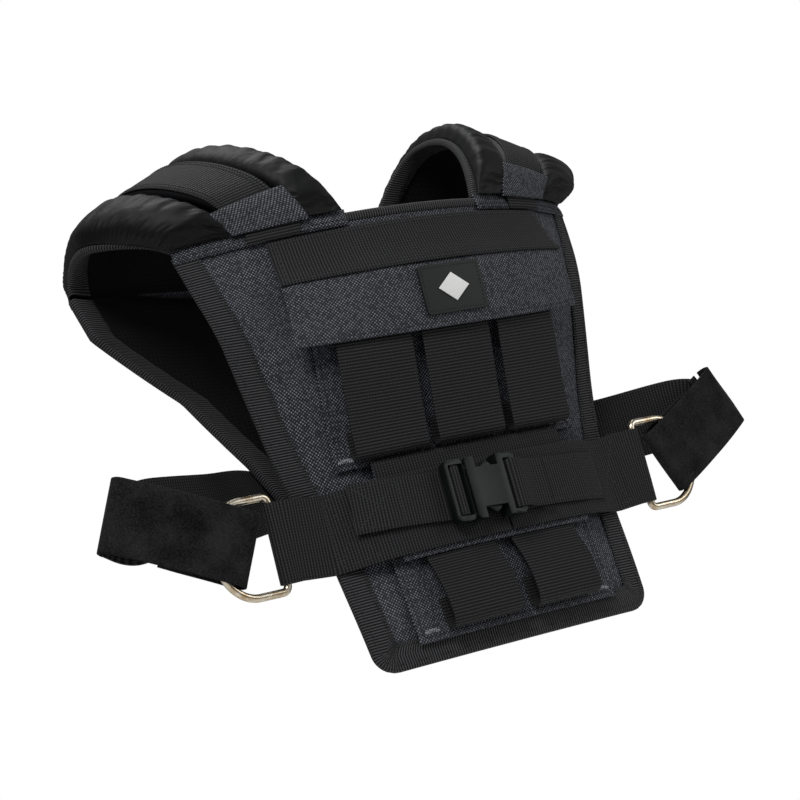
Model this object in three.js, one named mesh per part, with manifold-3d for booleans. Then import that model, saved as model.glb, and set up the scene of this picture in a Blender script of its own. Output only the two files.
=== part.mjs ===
// Padded load vest with a webbing waist belt: front and back bib panels joined by two padded
// shoulders, flap-covered rows of webbing loops, hook-and-loop side straps run through D-rings,
// and a side-release buckle. Millimetres, +Z up, the front faces -Y, the wearer's middle is X = 0.

import * as THREE from 'three';
import * as BufferGeometryUtils from 'three/addons/utils/BufferGeometryUtils.js';
import Module from 'manifold-3d';

const wasm = await Module();
wasm.setup();

// ---------- driving dimensions ----------

const gap = 0.6;                    // air between layers that are sewn or lie together
const webbing = 60;                 // width of the loop and belt webbing
const webThick = 1.8;
const tabWebbing = 38;              // width of the narrow webbing that holds the buckle
const stripWebbing = 38;            // width of the webbing sewn along the top of a flap

const bodyHeight = 340;             // both bibs, hem to shoulder seam, along their middle line
const coverThick = 1.6;
const liningThick = 1.6;
const foamThick = 8;
const marginWidth = 20;             // bound margin where the bib is squeezed flat
const marginDip = 3;                // how far each face sinks to the bound margin
const cornerRadius = 15;
const bindingThick = 1.2;

const frontHem = 126;               // half widths of the front bib, hem to shoulder seam
const frontWaist = 132;
const frontRib = 154;
const frontChest = 198;
const backHem = 88;                 // half widths of the back bib, hem to shoulder seam
const backWaist = 116;
const backRib = 142;
const backBlade = 236;

const bibDepthHem = 52;             // front to back distance between the bibs at the hem
const neckHalf = 62;                // half width of the neck opening at both shoulder seams

const ridgeNeckX = 104;             // top of the shoulder at the neck edge
const ridgeNeckY = 124;
const ridgeNeckRise = 76;            // above the bibs' height
const ridgeOuterX = 232;            // top of the shoulder at the outer edge
const ridgeOuterY = 106;
const ridgeOuterRise = 17;
const rollHeight = 19;              // padded rolls above the shoulder base
const channelHeight = 12;           // flat padding under the shoulder webbing
const shoulderBase = 4;

const flapWidth = 256;
const flapDrop = 11;                 // from the shoulder seam to the flap's sewn top
const flapTop = bodyHeight - flapDrop;
const flapHeight = 86;
const flapThick = 1.8;
const patchWidth = 56;
const patchHeight = 38;
const patchThick = 2.4;

const upperLoops = 3;
const upperPitch = 68;
const upperLoopDrop = 61;            // from the flap's top to the loops' tops
const upperLoopTop = flapTop - upperLoopDrop;
const upperLoopHeight = 112;
const upperLoopBottom = upperLoopTop - upperLoopHeight;
const upperLoopDepth = 15;
const lowerLoops = 2;
const lowerPitch = 75;
const lowerLoopTop = 92;
const lowerLoopBottom = 19;
const lowerLoopDepth = 19;

const lowerFlapWidth = 172;
const lowerFlapTop = 152;
const lowerFlapHeight = 78;

const beltZ = 108;                  // middle of the belt
const ringBarX = 172;               // straight bars of the two D-rings
const ringBarY = 30;
const ringWire = 6;
const ringInner = webbing + 4;
const ringDepth = 52;

const buckleX = -12;
const buckleZ = 112;
const buckleTilt = THREE.MathUtils.degToRad(6.5);
const buckleHeight = 48;
const buckleThick = 12;
const maleLength = 17;
const femaleLength = 47;

// ---------- materials ----------

function plain(color, roughness, metalness = 0) {
  return new THREE.MeshStandardMaterial({ color, roughness, metalness });
}

const oxford = plain(0x24262b, 0.85);
const ribbed = plain(0x17181a, 0.9);
const satin = plain(0x1c1e23, 0.5);
const foam = plain(0x4a4a4a, 0.95);
const meshLining = plain(0x1a1a1c, 0.95);
const velour = plain(0x0d0d0e, 1.0);
const rubber = plain(0x2a2e2c, 0.6);
const plastic = plain(0x26292a, 0.45);
const brass = plain(0xb08d4a, 0.3, 1.0);
const markWhite = plain(0xe8e8e6, 0.6);

// ---------- solids from grids of points ----------

const vec = (x, y, z) => new THREE.Vector3(x, y, z);
const lerp = THREE.MathUtils.lerp;
const part = new THREE.Group();

// Turns quads of points into one closed mesh: shared points merged, slivers dropped, faces out.
function meshFromQuads(name, material, quads) {
  const corners = [];
  const found = new Map();
  const faces = [];
  const cornerOf = (p) => {
    const key = `${p.x.toFixed(4)},${p.y.toFixed(4)},${p.z.toFixed(4)}`;
    if (!found.has(key)) {
      found.set(key, corners.length);
      corners.push(p);
    }
    return found.get(key);
  };
  const addFace = (a, b, c) => {
    if (a !== b && b !== c && a !== c) {
      faces.push([a, b, c]);
    }
  };
  for (const quad of quads) {
    const [a, b, c, d] = quad.map(cornerOf);
    addFace(a, b, c);
    addFace(a, c, d);
  }
  let volume = 0;
  for (const [a, b, c] of faces) {
    volume += corners[a].dot(corners[b].clone().cross(corners[c]));
  }
  const index = faces.flatMap(([a, b, c]) => (volume > 0 ? [a, b, c] : [a, c, b]));
  const geometry = new THREE.BufferGeometry();
  geometry.setAttribute('position', new THREE.Float32BufferAttribute(corners.flatMap((p) => p.toArray()), 3));
  geometry.setIndex(index);
  geometry.computeVertexNormals();
  return addMesh(name, geometry, material);
}

function addMesh(name, geometry, material, parent = part) {
  const mesh = new THREE.Mesh(geometry, material);
  mesh.name = name;
  parent.add(mesh);
  return mesh;
}

// A sheet between two faces: outer and inner give the point at row value a and column value b.
function slab(name, material, rows, columns, outer, inner) {
  const quads = [];
  const last = rows.length - 1;
  const end = columns.length - 1;
  const grid = (face) => rows.map((a) => columns.map((b) => face(a, b)));
  const top = grid(outer);
  const bottom = grid(inner);
  for (let i = 0; i < last; i += 1) {
    for (let j = 0; j < end; j += 1) {
      quads.push([top[i][j], top[i][j + 1], top[i + 1][j + 1], top[i + 1][j]]);
      quads.push([bottom[i][j], bottom[i + 1][j], bottom[i + 1][j + 1], bottom[i][j + 1]]);
    }
    quads.push([top[i][0], top[i + 1][0], bottom[i + 1][0], bottom[i][0]]);
    quads.push([top[i][end], bottom[i][end], bottom[i + 1][end], top[i + 1][end]]);
  }
  for (let j = 0; j < end; j += 1) {
    quads.push([top[0][j], bottom[0][j], bottom[0][j + 1], top[0][j + 1]]);
    quads.push([top[last][j], top[last][j + 1], bottom[last][j + 1], bottom[last][j]]);
  }
  return meshFromQuads(name, material, quads);
}

// A solid through a row of four-cornered sections.
function throughSections(name, material, sections, closed = false) {
  const quads = [];
  const count = sections.length;
  const sides = sections[0].length;
  for (let i = 0; i < (closed ? count : count - 1); i += 1) {
    const here = sections[i];
    const next = sections[(i + 1) % count];
    for (let j = 0; j < sides; j += 1) {
      const k = (j + 1) % sides;
      quads.push([here[j], here[k], next[k], next[j]]);
    }
  }
  if (!closed) {
    quads.push([sections[0][3], sections[0][2], sections[0][1], sections[0][0]]);
    quads.push(sections[count - 1]);
  }
  return meshFromQuads(name, material, quads);
}

// Webbing: a flat band whose middle line follows path, with its width along the across vector.
function ribbon(name, material, path, across, width, thick = webThick) {
  const sections = path.map((point, i) => {
    const before = path[Math.max(i - 1, 0)];
    const after = path[Math.min(i + 1, path.length - 1)];
    const ahead = after.clone().sub(before).normalize();
    const side = (typeof across === 'function' ? across(i) : across).clone();
    side.addScaledVector(ahead, -side.dot(ahead)).normalize();
    const normal = ahead.clone().cross(side).normalize();
    let stretch = 1;
    if (i > 0 && i < path.length - 1) {
      const turn = point.clone().sub(before).normalize().angleTo(after.clone().sub(point).normalize());
      stretch = 1 / Math.cos(Math.min(turn, 2) / 2);
    }
    const w = side.multiplyScalar(width / 2);
    const t = normal.multiplyScalar((thick / 2) * stretch);
    return [
      point.clone().sub(w).sub(t),
      point.clone().add(w).sub(t),
      point.clone().add(w).add(t),
      point.clone().sub(w).add(t),
    ];
  });
  return throughSections(name, material, sections);
}

function steps(from, to, spacing) {
  const count = Math.max(1, Math.round(Math.abs(to - from) / spacing));
  return Array.from({ length: count + 1 }, (_, i) => lerp(from, to, i / count));
}

// Straight-line reading of a list of [place, value] pairs.
function along(table, place) {
  const after = table.findIndex(([at]) => at >= place);
  if (after === 0) {
    return table[0][1];
  }
  if (after === -1) {
    return table[table.length - 1][1];
  }
  const [a, va] = table[after - 1];
  const [b, vb] = table[after];
  return lerp(va, vb, (place - a) / (b - a));
}

// ---------- the two bib panels ----------

// A bib is a sheet bent round the chest. Its flat pattern has u across and s up from the hem;
// place(u, s, h) is the point at that spot, h off the outer face. facing is -1 in front, 1 behind.
function makeBib({ leans, startY, startZ, facing, bendHem, bendTop, widths }) {
  const spine = [vec(0, startY, startZ)];
  const stride = 5;
  for (let s = 0; s < bodyHeight + 20; s += stride) {
    const lean = THREE.MathUtils.degToRad(along(leans, s + stride / 2));
    const foot = spine[spine.length - 1];
    spine.push(foot.clone().add(vec(0, stride * Math.sin(lean), stride * Math.cos(lean))));
  }
  const halfWidth = (s) => {
    const full = along(widths, s);
    if (s >= cornerRadius) {
      return full;
    }
    const rise = cornerRadius - s;
    return full - cornerRadius + Math.sqrt(cornerRadius ** 2 - rise ** 2);
  };
  const place = (u, s, h) => {
    const spot = Math.min(Math.max(s / stride, 0), spine.length - 2);
    const cell = Math.floor(spot);
    const middle = spine[cell].clone().lerp(spine[cell + 1], spot - cell);
    if (s < 0) {
      middle.add(spine[1].clone().sub(spine[0]).multiplyScalar(s / stride));
    }
    const lean = THREE.MathUtils.degToRad(along(leans, s));
    const bend = lerp(bendHem, bendTop, s / bodyHeight);
    const x = Math.sin(bend * u) / bend + h * Math.sin(bend * u);
    const inward = (1 - Math.cos(bend * u)) / bend - h * Math.cos(bend * u);
    return vec(x, middle.y - facing * inward * Math.cos(lean), middle.z + facing * inward * Math.sin(lean));
  };
  return { place, halfWidth, facing };
}

const front = makeBib({
  leans: [[0, 5], [60, 9], [120, 6.5], [190, -9.6], [250, -11.5], [300, 1], [bodyHeight, 3]],
  startY: 0,
  startZ: 0,
  facing: -1,
  bendHem: 1 / 1000,
  bendTop: 1 / 315,
  widths: [[0, frontHem], [82, frontWaist], [165, frontRib], [bodyHeight, frontChest]],
});

const back = makeBib({
  leans: [[0, 4], [60, 14], [100, 30], [180, 30], [bodyHeight, 22]],
  startY: bibDepthHem,
  startZ: 6,
  facing: 1,
  bendHem: 1 / 900,
  bendTop: 1 / 700,
  widths: [[0, backHem], [80, backWaist], [175, backRib], [240, backRib + 28], [300, backBlade - 6],
    [bodyHeight, backBlade]],
});

// How far the bib's face has risen from its squeezed margin: 0 on the margin, 1 inside.
function rise(bib, u, s) {
  const inside = Math.min(bib.halfWidth(Math.max(s, cornerRadius)) - Math.abs(u), s, bodyHeight - s);
  return Math.min(Math.max(inside / marginWidth - 1, 0), 1);
}

const coreThick = foamThick + 2 * gap;
const outerDip = (bib, u, s) => -marginDip * (1 - rise(bib, u, s));
const innerFace = coverThick + coreThick + liningThick;
const marginFace = marginDip + coverThick + gap + liningThick;
const innerDip = (bib, u, s) => -lerp(marginFace, innerFace, rise(bib, u, s));

const bibRows = [0, 0.3 * cornerRadius, cornerRadius, marginWidth, 2 * marginWidth,
  ...steps(2 * marginWidth, bodyHeight - 2 * marginWidth, 29).slice(1, -1),
  bodyHeight - 2 * marginWidth, bodyHeight - marginWidth, bodyHeight];

// Columns run from -1 to 1 in cells that keep the margin lines exact at every height.
const innerColumns = 8;
const bibColumns = [-3, -2, ...steps(-1, 1, 2 / innerColumns), 2, 3];

function columnU(bib, s, column, inset = 0) {
  const half = bib.halfWidth(s) - inset;
  const size = Math.abs(column);
  if (size <= 1) {
    return column * (half - (2 * marginWidth - inset));
  }
  return Math.sign(column) * (half - (3 - size) * (marginWidth - inset / 2));
}

function makeBibLayers(name, bib) {
  slab(`${name}_cover`, oxford, bibRows, bibColumns,
    (s, c) => bib.place(columnU(bib, s, c), s, outerDip(bib, columnU(bib, s, c), s)),
    (s, c) => bib.place(columnU(bib, s, c), s, outerDip(bib, columnU(bib, s, c), s) - coverThick));
  slab(`${name}_lining`, meshLining, bibRows, bibColumns,
    (s, c) => bib.place(columnU(bib, s, c), s, innerDip(bib, columnU(bib, s, c), s) + liningThick),
    (s, c) => bib.place(columnU(bib, s, c), s, innerDip(bib, columnU(bib, s, c), s)));
  const foamRows = bibRows.filter((s) => s >= 2 * marginWidth && s <= bodyHeight - 2 * marginWidth);
  const foamColumns = bibColumns.filter((c) => Math.abs(c) <= 1);
  slab(`${name}_foam`, foam, foamRows, foamColumns,
    (s, c) => bib.place(columnU(bib, s, c), s, -coverThick - gap),
    (s, c) => bib.place(columnU(bib, s, c), s, -coverThick - gap - foamThick));
}

// Tape folded round the hem and both sides of a bib, in U-shaped sections.
function makeBinding(name, bib) {
  const lip = marginWidth - 1;
  const high = -marginDip + gap;
  const low = -marginFace - gap;
  const hemHalf = bib.halfWidth(0);
  const sideRows = bibRows.filter((s) => s > 0 && s <= bodyHeight - 4);
  sideRows.push(bodyHeight - 4);
  const outline = [];
  for (const s of [...sideRows].reverse()) {
    outline.push([-1, -bib.halfWidth(s), s]);
  }
  for (const c of steps(-1, 1, 2 / innerColumns)) {
    outline.push([0, c * hemHalf, 0]);
  }
  for (const s of sideRows) {
    outline.push([1, bib.halfWidth(s), s]);
  }
  const sections = outline.map(([side, u, s]) => {
    const reach = bib.halfWidth(Math.max(s, marginWidth)) - lip;
    const innerU = side === 0 ? THREE.MathUtils.clamp(u, -reach, reach) : side * reach;
    const innerS = Math.max(s, lip);
    const away = side === 0 ? [0, -1] : [side, s < cornerRadius ? -(1 - s / cornerRadius) : 0];
    const size = Math.hypot(away[0], away[1]);
    const edge = (reachOut) => [u + (away[0] / size) * reachOut, s + (away[1] / size) * reachOut];
    const [nearU, nearS] = edge(gap);
    const [farU, farS] = edge(gap + bindingThick);
    return [
      bib.place(innerU, innerS, high), bib.place(innerU, innerS, high + bindingThick),
      bib.place(farU, farS, high + bindingThick), bib.place(farU, farS, low - bindingThick),
      bib.place(innerU, innerS, low - bindingThick), bib.place(innerU, innerS, low),
      bib.place(nearU, nearS, low), bib.place(nearU, nearS, high),
    ];
  });
  const quads = [];
  for (let i = 0; i < sections.length - 1; i += 1) {
    for (let j = 0; j < 8; j += 1) {
      const k = (j + 1) % 8;
      quads.push([sections[i][j], sections[i][k], sections[i + 1][k], sections[i + 1][j]]);
    }
  }
  for (const [end, flip] of [[sections[0], false], [sections[sections.length - 1], true]]) {
    const caps = [[0, 1, 2, 7], [7, 2, 3, 6], [6, 3, 4, 5]];
    for (const cap of caps) {
      const corners = cap.map((j) => end[j]);
      quads.push(flip ? corners : corners.reverse());
    }
  }
  meshFromQuads(name, ribbed, quads);
}

makeBibLayers('front', front);
makeBinding('front_binding', front);
makeBibLayers('back', back);
makeBinding('back_binding', back);

// ---------- shoulders ----------

// A shoulder is a strip from the front seam over the ridge to the back seam. t runs front to
// back, v from the neck edge to the outer edge, h off its upper face. side is -1 or 1.
function shoulderLine(side, v) {
  const seamGap = gap;
  const start = front.place(side * lerp(neckHalf, frontChest - 2, v), bodyHeight + seamGap, -marginDip);
  const finish = back.place(side * lerp(neckHalf, backBlade - 2, v), bodyHeight + seamGap, -marginDip);
  const bulge = 12 * v * (1 - v);
  const ridge = vec(side * lerp(ridgeNeckX, ridgeOuterX, v), lerp(ridgeNeckY, ridgeOuterY, v),
    bodyHeight + lerp(ridgeNeckRise, ridgeOuterRise, v) + bulge);
  const lift = ridge.z - start.z;
  const drop = ridge.z - finish.z;
  const up = new THREE.CubicBezierCurve3(start,
    vec(lerp(start.x, ridge.x, 0.2), start.y + 4, start.z + 0.45 * lift),
    vec(ridge.x, lerp(start.y, ridge.y, 0.5), ridge.z), ridge);
  const down = new THREE.CubicBezierCurve3(ridge,
    vec(ridge.x, lerp(finish.y, ridge.y, 0.45), ridge.z),
    vec(lerp(finish.x, ridge.x, 0.2), finish.y - 2, finish.z + 0.5 * drop), finish);
  return (t) => (t < 0.5 ? up.getPoint(2 * t) : down.getPoint(2 * t - 1));
}

function shoulderPoint(side, t, v, h) {
  const d = 0.01;
  const at = (tt, vv) => shoulderLine(side, vv)(THREE.MathUtils.clamp(tt, 0, 1));
  const alongT = at(t + d, v).sub(at(t - d, v));
  const alongV = at(t, v + d).sub(at(t, v - d));
  const normal = alongT.cross(alongV).multiplyScalar(-side).normalize();
  const frontNormal = front.place(side * lerp(neckHalf, frontChest, v), bodyHeight, 1)
    .sub(front.place(side * lerp(neckHalf, frontChest, v), bodyHeight, 0));
  const backNormal = back.place(side * lerp(neckHalf, backBlade, v), bodyHeight, 1)
    .sub(back.place(side * lerp(neckHalf, backBlade, v), bodyHeight, 0));
  const nearFront = 1 - THREE.MathUtils.smoothstep(t, 0, 0.2);
  const nearBack = THREE.MathUtils.smoothstep(t, 0.8, 1);
  normal.lerp(frontNormal, nearFront).lerp(backNormal, nearBack).normalize();
  return at(t, v).addScaledVector(normal, h);
}

const shoulderRows = steps(0, 1, 1 / 12);
const neckRollEdge = 0.26;
const outerRollEdge = 0.60;
const rollGap = 0.012;

// Padded roll between two v values: an arched section that thins out towards both seams.
function makeRoll(name, side, from, to, height) {
  const columns = steps(from, to, (to - from) / 5);
  const arch = (t, v) => {
    const across = (v - from) / (to - from);
    const bow = Math.sqrt(Math.max(0, 1 - (2 * across - 1) ** 4));
    const ends = THREE.MathUtils.smoothstep(t, 0, 0.16) * (1 - THREE.MathUtils.smoothstep(t, 0.86, 1));
    return gap + 3 + (height - 3) * bow * lerp(0.18, 1, ends);
  };
  slab(name, satin, shoulderRows, columns,
    (t, v) => shoulderPoint(side, t, v, arch(t, v)),
    (t, v) => shoulderPoint(side, t, v, gap));
}

for (const [word, side] of [['left', -1], ['right', 1]]) {
  slab(`shoulder_${word}_base`, meshLining, shoulderRows, steps(0, 1, 1 / 9),
    (t, v) => shoulderPoint(side, t, v, -gap / 2),
    (t, v) => shoulderPoint(side, t, v, -shoulderBase));
  makeRoll(`shoulder_${word}_neck_roll`, side, 0.005, neckRollEdge, rollHeight - 2);
  makeRoll(`shoulder_${word}_outer_roll`, side, outerRollEdge, 0.995, rollHeight);
  const channelStart = neckRollEdge + rollGap;
  const channelEnd = outerRollEdge - rollGap;
  const channelTop = (t) => {
    const ends = THREE.MathUtils.smoothstep(t, 0, 0.2) * (1 - THREE.MathUtils.smoothstep(t, 0.82, 1));
    return gap + lerp(2.5, channelHeight, ends);
  };
  const channelColumns = steps(channelStart, channelEnd, (channelEnd - channelStart) / 3);
  slab(`shoulder_${word}_channel`, oxford, shoulderRows, channelColumns,
    (t, v) => shoulderPoint(side, t, v, channelTop(t)),
    (t, v) => shoulderPoint(side, t, v, gap));
  slab(`shoulder_${word}_webbing`, ribbed, shoulderRows, channelColumns,
    (t, v) => shoulderPoint(side, t, v, channelTop(t) + gap + webThick),
    (t, v) => shoulderPoint(side, t, v, channelTop(t) + gap));
}

// ---------- pockets, webbing loops and flaps ----------

const pocketThick = 2.6;
const loopTail = 16;                // length of a loop's end that is sewn down behind it

// Fabric base that a row of loops is sewn to.
function makePocket(name, bib, halfAcross, bottom, top) {
  const columns = steps(-halfAcross, halfAcross, 18);
  slab(name, oxford, steps(bottom, top, 18), columns,
    (s, u) => bib.place(u, s, gap + pocketThick),
    (s, u) => bib.place(u, s, gap));
}

// One loop: webbing sewn down at the top, standing off the bib, rolled under at the bottom and
// sewn down again behind, so that a weight can be pushed through it. swell lists how far down the
// loop, and how far towards its full depth, the front layer has risen.
function makeLoop(name, bib, middle, bottom, top, depth, swell) {
  const seat = 2 * gap + pocketThick + webThick / 2;
  const bend = (depth - seat) / 2;
  const foot = bottom + bend;
  const line = swell.map(([down, out]) => [lerp(top, foot, down), lerp(seat, depth, out)]);
  for (const turn of [0, 30, 60, 90, 120, 150, 180]) {
    const angle = THREE.MathUtils.degToRad(turn);
    line.push([foot - bend * Math.sin(angle), seat + bend + bend * Math.cos(angle)]);
  }
  line.push([foot + loopTail, seat]);
  const halfBand = webbing / 2;
  const thick = webThick / 2;
  const offset = (i, by) => {
    const [s0, h0] = line[Math.max(i - 1, 0)];
    const [s1, h1] = line[Math.min(i + 1, line.length - 1)];
    const size = Math.hypot(s1 - s0, h1 - h0);
    return [line[i][0] + ((h1 - h0) / size) * by, line[i][1] - ((s1 - s0) / size) * by];
  };
  const rows = line.map((_, i) => i);
  const columns = steps(middle - halfBand, middle + halfBand, 20);
  slab(name, ribbed, rows, columns,
    (i, u) => bib.place(u, ...offset(i, thick)),
    (i, u) => bib.place(u, ...offset(i, -thick)));
}

// A flap: its profile lists how far down the flap, and how far off the bib, its inner face is.
function makeFlap(name, bib, width, top, length, profile) {
  const columns = steps(-width / 2, width / 2, 16);
  const base = (s) => along(profile, (top - s) / length);
  const rows = steps(top - length, top, 13);
  slab(name, oxford, rows, columns,
    (s, u) => bib.place(u, s, base(s) + flapThick),
    (s, u) => bib.place(u, s, base(s)));
  slab(`${name}_strip`, ribbed, steps(top - stripWebbing, top, 13), columns,
    (s, u) => bib.place(u, s, base(s) + flapThick + gap + webThick),
    (s, u) => bib.place(u, s, base(s) + flapThick + gap));
  return base;
}

// Groups whose own axes follow a spot on a bib: X along it, Y into it, Z up it.
function frameAt(origin, across, up, tilt) {
  const intoBib = up.clone().cross(across).normalize();
  const flatAcross = intoBib.clone().cross(up).negate().normalize();
  const basis = new THREE.Matrix4().makeBasis(flatAcross, intoBib, up.clone().normalize());
  const group = new THREE.Group();
  group.quaternion.setFromRotationMatrix(basis);
  group.rotateY(tilt);
  group.position.copy(origin);
  group.updateMatrix();
  return group;
}

// A plate with round corners, lying in the X-Z plane of its group, from y = front to y = back.
function plateShape(left, right, low, high, radius) {
  const shape = new THREE.Shape();
  shape.moveTo(left + radius, low);
  shape.lineTo(right - radius, low);
  shape.absarc(right - radius, low + radius, radius, -Math.PI / 2, 0);
  shape.lineTo(right, high - radius);
  shape.absarc(right - radius, high - radius, radius, 0, Math.PI / 2);
  shape.lineTo(left + radius, high);
  shape.absarc(left + radius, high - radius, radius, Math.PI / 2, Math.PI);
  shape.lineTo(left, low + radius);
  shape.absarc(left + radius, low + radius, radius, Math.PI, 1.5 * Math.PI);
  return shape;
}

function upright(shape, frontY, backY) {
  const geometry = new THREE.ExtrudeGeometry(shape, { depth: backY - frontY, bevelEnabled: false, curveSegments: 4 });
  geometry.rotateX(Math.PI / 2);
  geometry.translate(0, backY, 0);
  return geometry;
}

const pocketMargin = 6;
makePocket('upper_pocket', front, 112, upperLoopBottom - pocketMargin, flapTop - 24);
for (let i = 0; i < upperLoops; i += 1) {
  const middle = (i - (upperLoops - 1) / 2) * upperPitch;
  makeLoop(`upper_loop_${i + 1}`, front, middle, upperLoopBottom, upperLoopTop, upperLoopDepth,
    [[0, 0], [0.12, 0.6], [0.28, 0.95], [0.5, 1], [0.75, 1]]);
}
const upperFlapFace = makeFlap('upper_flap', front, flapWidth, flapTop, flapHeight,
  [[0, -2.2], [0.27, 4.4], [0.45, 12.2], [1, upperLoopDepth + 2.6]]);

makePocket('lower_pocket', front, 92, lowerLoopBottom - pocketMargin, lowerFlapTop - 10);
for (let i = 0; i < lowerLoops; i += 1) {
  const middle = (i - (lowerLoops - 1) / 2) * lowerPitch;
  makeLoop(`lower_loop_${i + 1}`, front, middle, lowerLoopBottom, lowerLoopTop, lowerLoopDepth,
    [[0, 0], [0.13, 0.1], [0.27, 0.2], [0.48, 0.62], [0.7, 0.93], [0.85, 1]]);
}
makeFlap('lower_flap', front, lowerFlapWidth, lowerFlapTop, lowerFlapHeight,
  [[0, 5], [0.45, 7.4], [1, 9.4]]);

// Moulded rubber patch with a plain raised diamond, sewn to the flap below its strip.
const patchS = flapTop - stripWebbing - 2 - patchHeight / 2;
const flapSurface = (s) => front.place(0, s, upperFlapFace(s) + flapThick);
const patchUp = flapSurface(patchS + 10).sub(flapSurface(patchS - 10)).normalize();
const patchFrame = frameAt(flapSurface(patchS), vec(1, 0, 0), patchUp, 0);
part.add(patchFrame);
const patchFace = -gap - patchThick;
addMesh('label_patch',
  upright(plateShape(-patchWidth / 2, patchWidth / 2, -patchHeight / 2, patchHeight / 2, 3), patchFace, -gap),
  rubber, patchFrame);
const diamond = new THREE.Shape([[14, 0], [0, 11], [-14, 0], [0, -11]].map(([x, z]) => new THREE.Vector2(x, z)));
const markGap = 0.3;
const markThick = 0.8;
addMesh('label_mark', upright(diamond, patchFace - markGap - markThick, patchFace - markGap), markWhite, patchFrame);

// ---------- back band and side straps ----------

const bandS = 146;
const bandHalf = 122;
const strapWidth = webbing - 4;
slab('back_band', ribbed, steps(bandS - webbing / 2, bandS + webbing / 2, 20), steps(-bandHalf, bandHalf, 20),
  (s, u) => back.place(u, s, gap + webThick),
  (s, u) => back.place(u, s, gap));

const strapRise = THREE.MathUtils.degToRad(26);   // the straps climb outwards from the rings
const strapLength = 98;                           // from the ring to the fold
const strapThread = 26;                           // where the strap threads the ring, from its bar
const strapSlack = 0.5;
const strapPinch = ringWire / 2 + gap + webThick / 2 + strapSlack;   // half the space between its layers at the ring
const foldSwing = 13;                             // how far back the strap has swung at the fold
const foldRadius = 6;
const foldGap = 2.4;

function strapFrame(side) {
  const out = vec(side * Math.cos(strapRise), 0, Math.sin(strapRise));
  const across = vec(-side * Math.sin(strapRise), 0, Math.cos(strapRise));
  const root = vec(side * (ringBarX + strapThread), ringBarY, beltZ);
  const at = (reach, y) => root.clone().addScaledVector(out, reach).add(vec(0, y, 0));
  return { at, across };
}

// The velour-faced end: threaded through the ring, doubled back inside, and folded at its far end.
function makeStrapEnd(name, side) {
  const { at, across } = strapFrame(side);
  const path = [];
  const tailLength = 62;
  for (const reach of steps(tailLength, 0, 16)) {
    path.push(at(reach, strapPinch + 0.02 * reach));
  }
  for (const turn of [45, 90, 135]) {
    const angle = THREE.MathUtils.degToRad(turn);
    path.push(at(-strapPinch * Math.sin(angle), strapPinch * Math.cos(angle)));
  }
  for (const reach of steps(0, strapLength, 16)) {
    path.push(at(reach, -strapPinch + foldSwing * (reach / strapLength) ** 2));
  }
  const foldY = foldSwing - strapPinch + foldRadius;
  for (const turn of [45, 90, 135, 180]) {
    const angle = THREE.MathUtils.degToRad(turn);
    path.push(at(strapLength + foldRadius * Math.sin(angle), foldY - foldRadius * Math.cos(angle)));
  }
  ribbon(name, velour, path, across, strapWidth);
}

// The plain end: from under the fold, level across to the back bib, and sewn onto its band.
function makeSideStrap(name, side) {
  const { at, across } = strapFrame(side);
  const foldY = foldSwing - strapPinch + 2 * foldRadius;
  const seatH = 2 * gap + 1.5 * webThick;
  const seat = (u) => back.place(side * u, bandS, seatH);
  const curve = new THREE.CatmullRomCurve3([
    at(strapLength - foldGap, foldY), at(strapLength - 18, foldY + 2), at(strapLength - 44, foldY + 8).setZ(147),
    vec(side * 186, 80, 145), seat(bandHalf + 26), seat(bandHalf + 8), seat(bandHalf - 14)]);
  const count = 18;
  const path = curve.getSpacedPoints(count);
  const backLean = back.place(0, bandS + 20, 0).sub(back.place(0, bandS - 20, 0)).normalize();
  const turning = (i) => {
    const way = i / count;
    const level = across.clone().lerp(vec(0, 0, 1), THREE.MathUtils.smoothstep(way, 0, 0.4));
    return level.lerp(backLean, THREE.MathUtils.smoothstep(way, 0.4, 0.85));
  };
  ribbon(name, ribbed, path, turning, strapWidth);
}

// ---------- belt ----------

// Height of the belt's middle layer over the front bib: high over the lower flap, low at the edge.
const beltHigh = 14.2;
const flapSide = lowerFlapWidth / 2 + 3;
const beltEdge = frontWaist + 1;
const beltLow = 3.6;
const beltLift = (u) => along([[flapSide, beltHigh], [beltEdge - 8, beltLow], [beltEdge + 70, beltLow]], Math.abs(u));
const beltSpine = front.place(0, beltZ + 24, 0).sub(front.place(0, beltZ - 24, 0)).normalize();
const beltJoin = 8;                 // where the two halves meet, behind the buckle
const beltStops = [beltEdge, beltEdge - 8, flapSide + 24, flapSide + 12, ...steps(flapSide, 26, 15)];
const foldReach = 29;               // length of the layer folded back behind each ring

function makeBeltHalf(name, side, inner) {
  const path = [];
  const wrap = ringWire / 2 + 1.5 * gap + webThick / 2;
  const endX = ringBarX - foldReach;
  const bar = vec(side * ringBarX, ringBarY, beltZ);
  const skin = webThick + gap;
  const edge = front.place(side * beltEdge, beltZ, beltLift(beltEdge));
  const frontY = (x) => lerp(edge.y, bar.y - wrap, (x - Math.abs(edge.x)) / (ringBarX - Math.abs(edge.x)));
  path.push(vec(side * endX, frontY(endX) + skin + 0.8, beltZ));
  path.push(vec(side * (endX + 12), frontY(endX + 12) + skin + 1.6, beltZ));
  path.push(vec(side * (ringBarX - 8), bar.y + wrap - 1.4, beltZ));
  for (const turn of [15, 50, 90, 130, 165]) {
    const angle = THREE.MathUtils.degToRad(turn);
    path.push(bar.clone().add(vec(side * wrap * Math.sin(angle), wrap * Math.cos(angle), 0)));
  }
  path.push(vec(side * (ringBarX - 8), frontY(ringBarX - 8), beltZ));
  const free = path.length;
  for (const u of [...beltStops, side * inner]) {
    path.push(front.place(side * u, beltZ, beltLift(u)));
  }
  const plumb = vec(0, 0, 1);
  const leaning = (i) => plumb.clone().lerp(beltSpine, THREE.MathUtils.clamp((i - free + 1) / 2, 0, 1));
  ribbon(name, ribbed, path, leaning, webbing);
}

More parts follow.
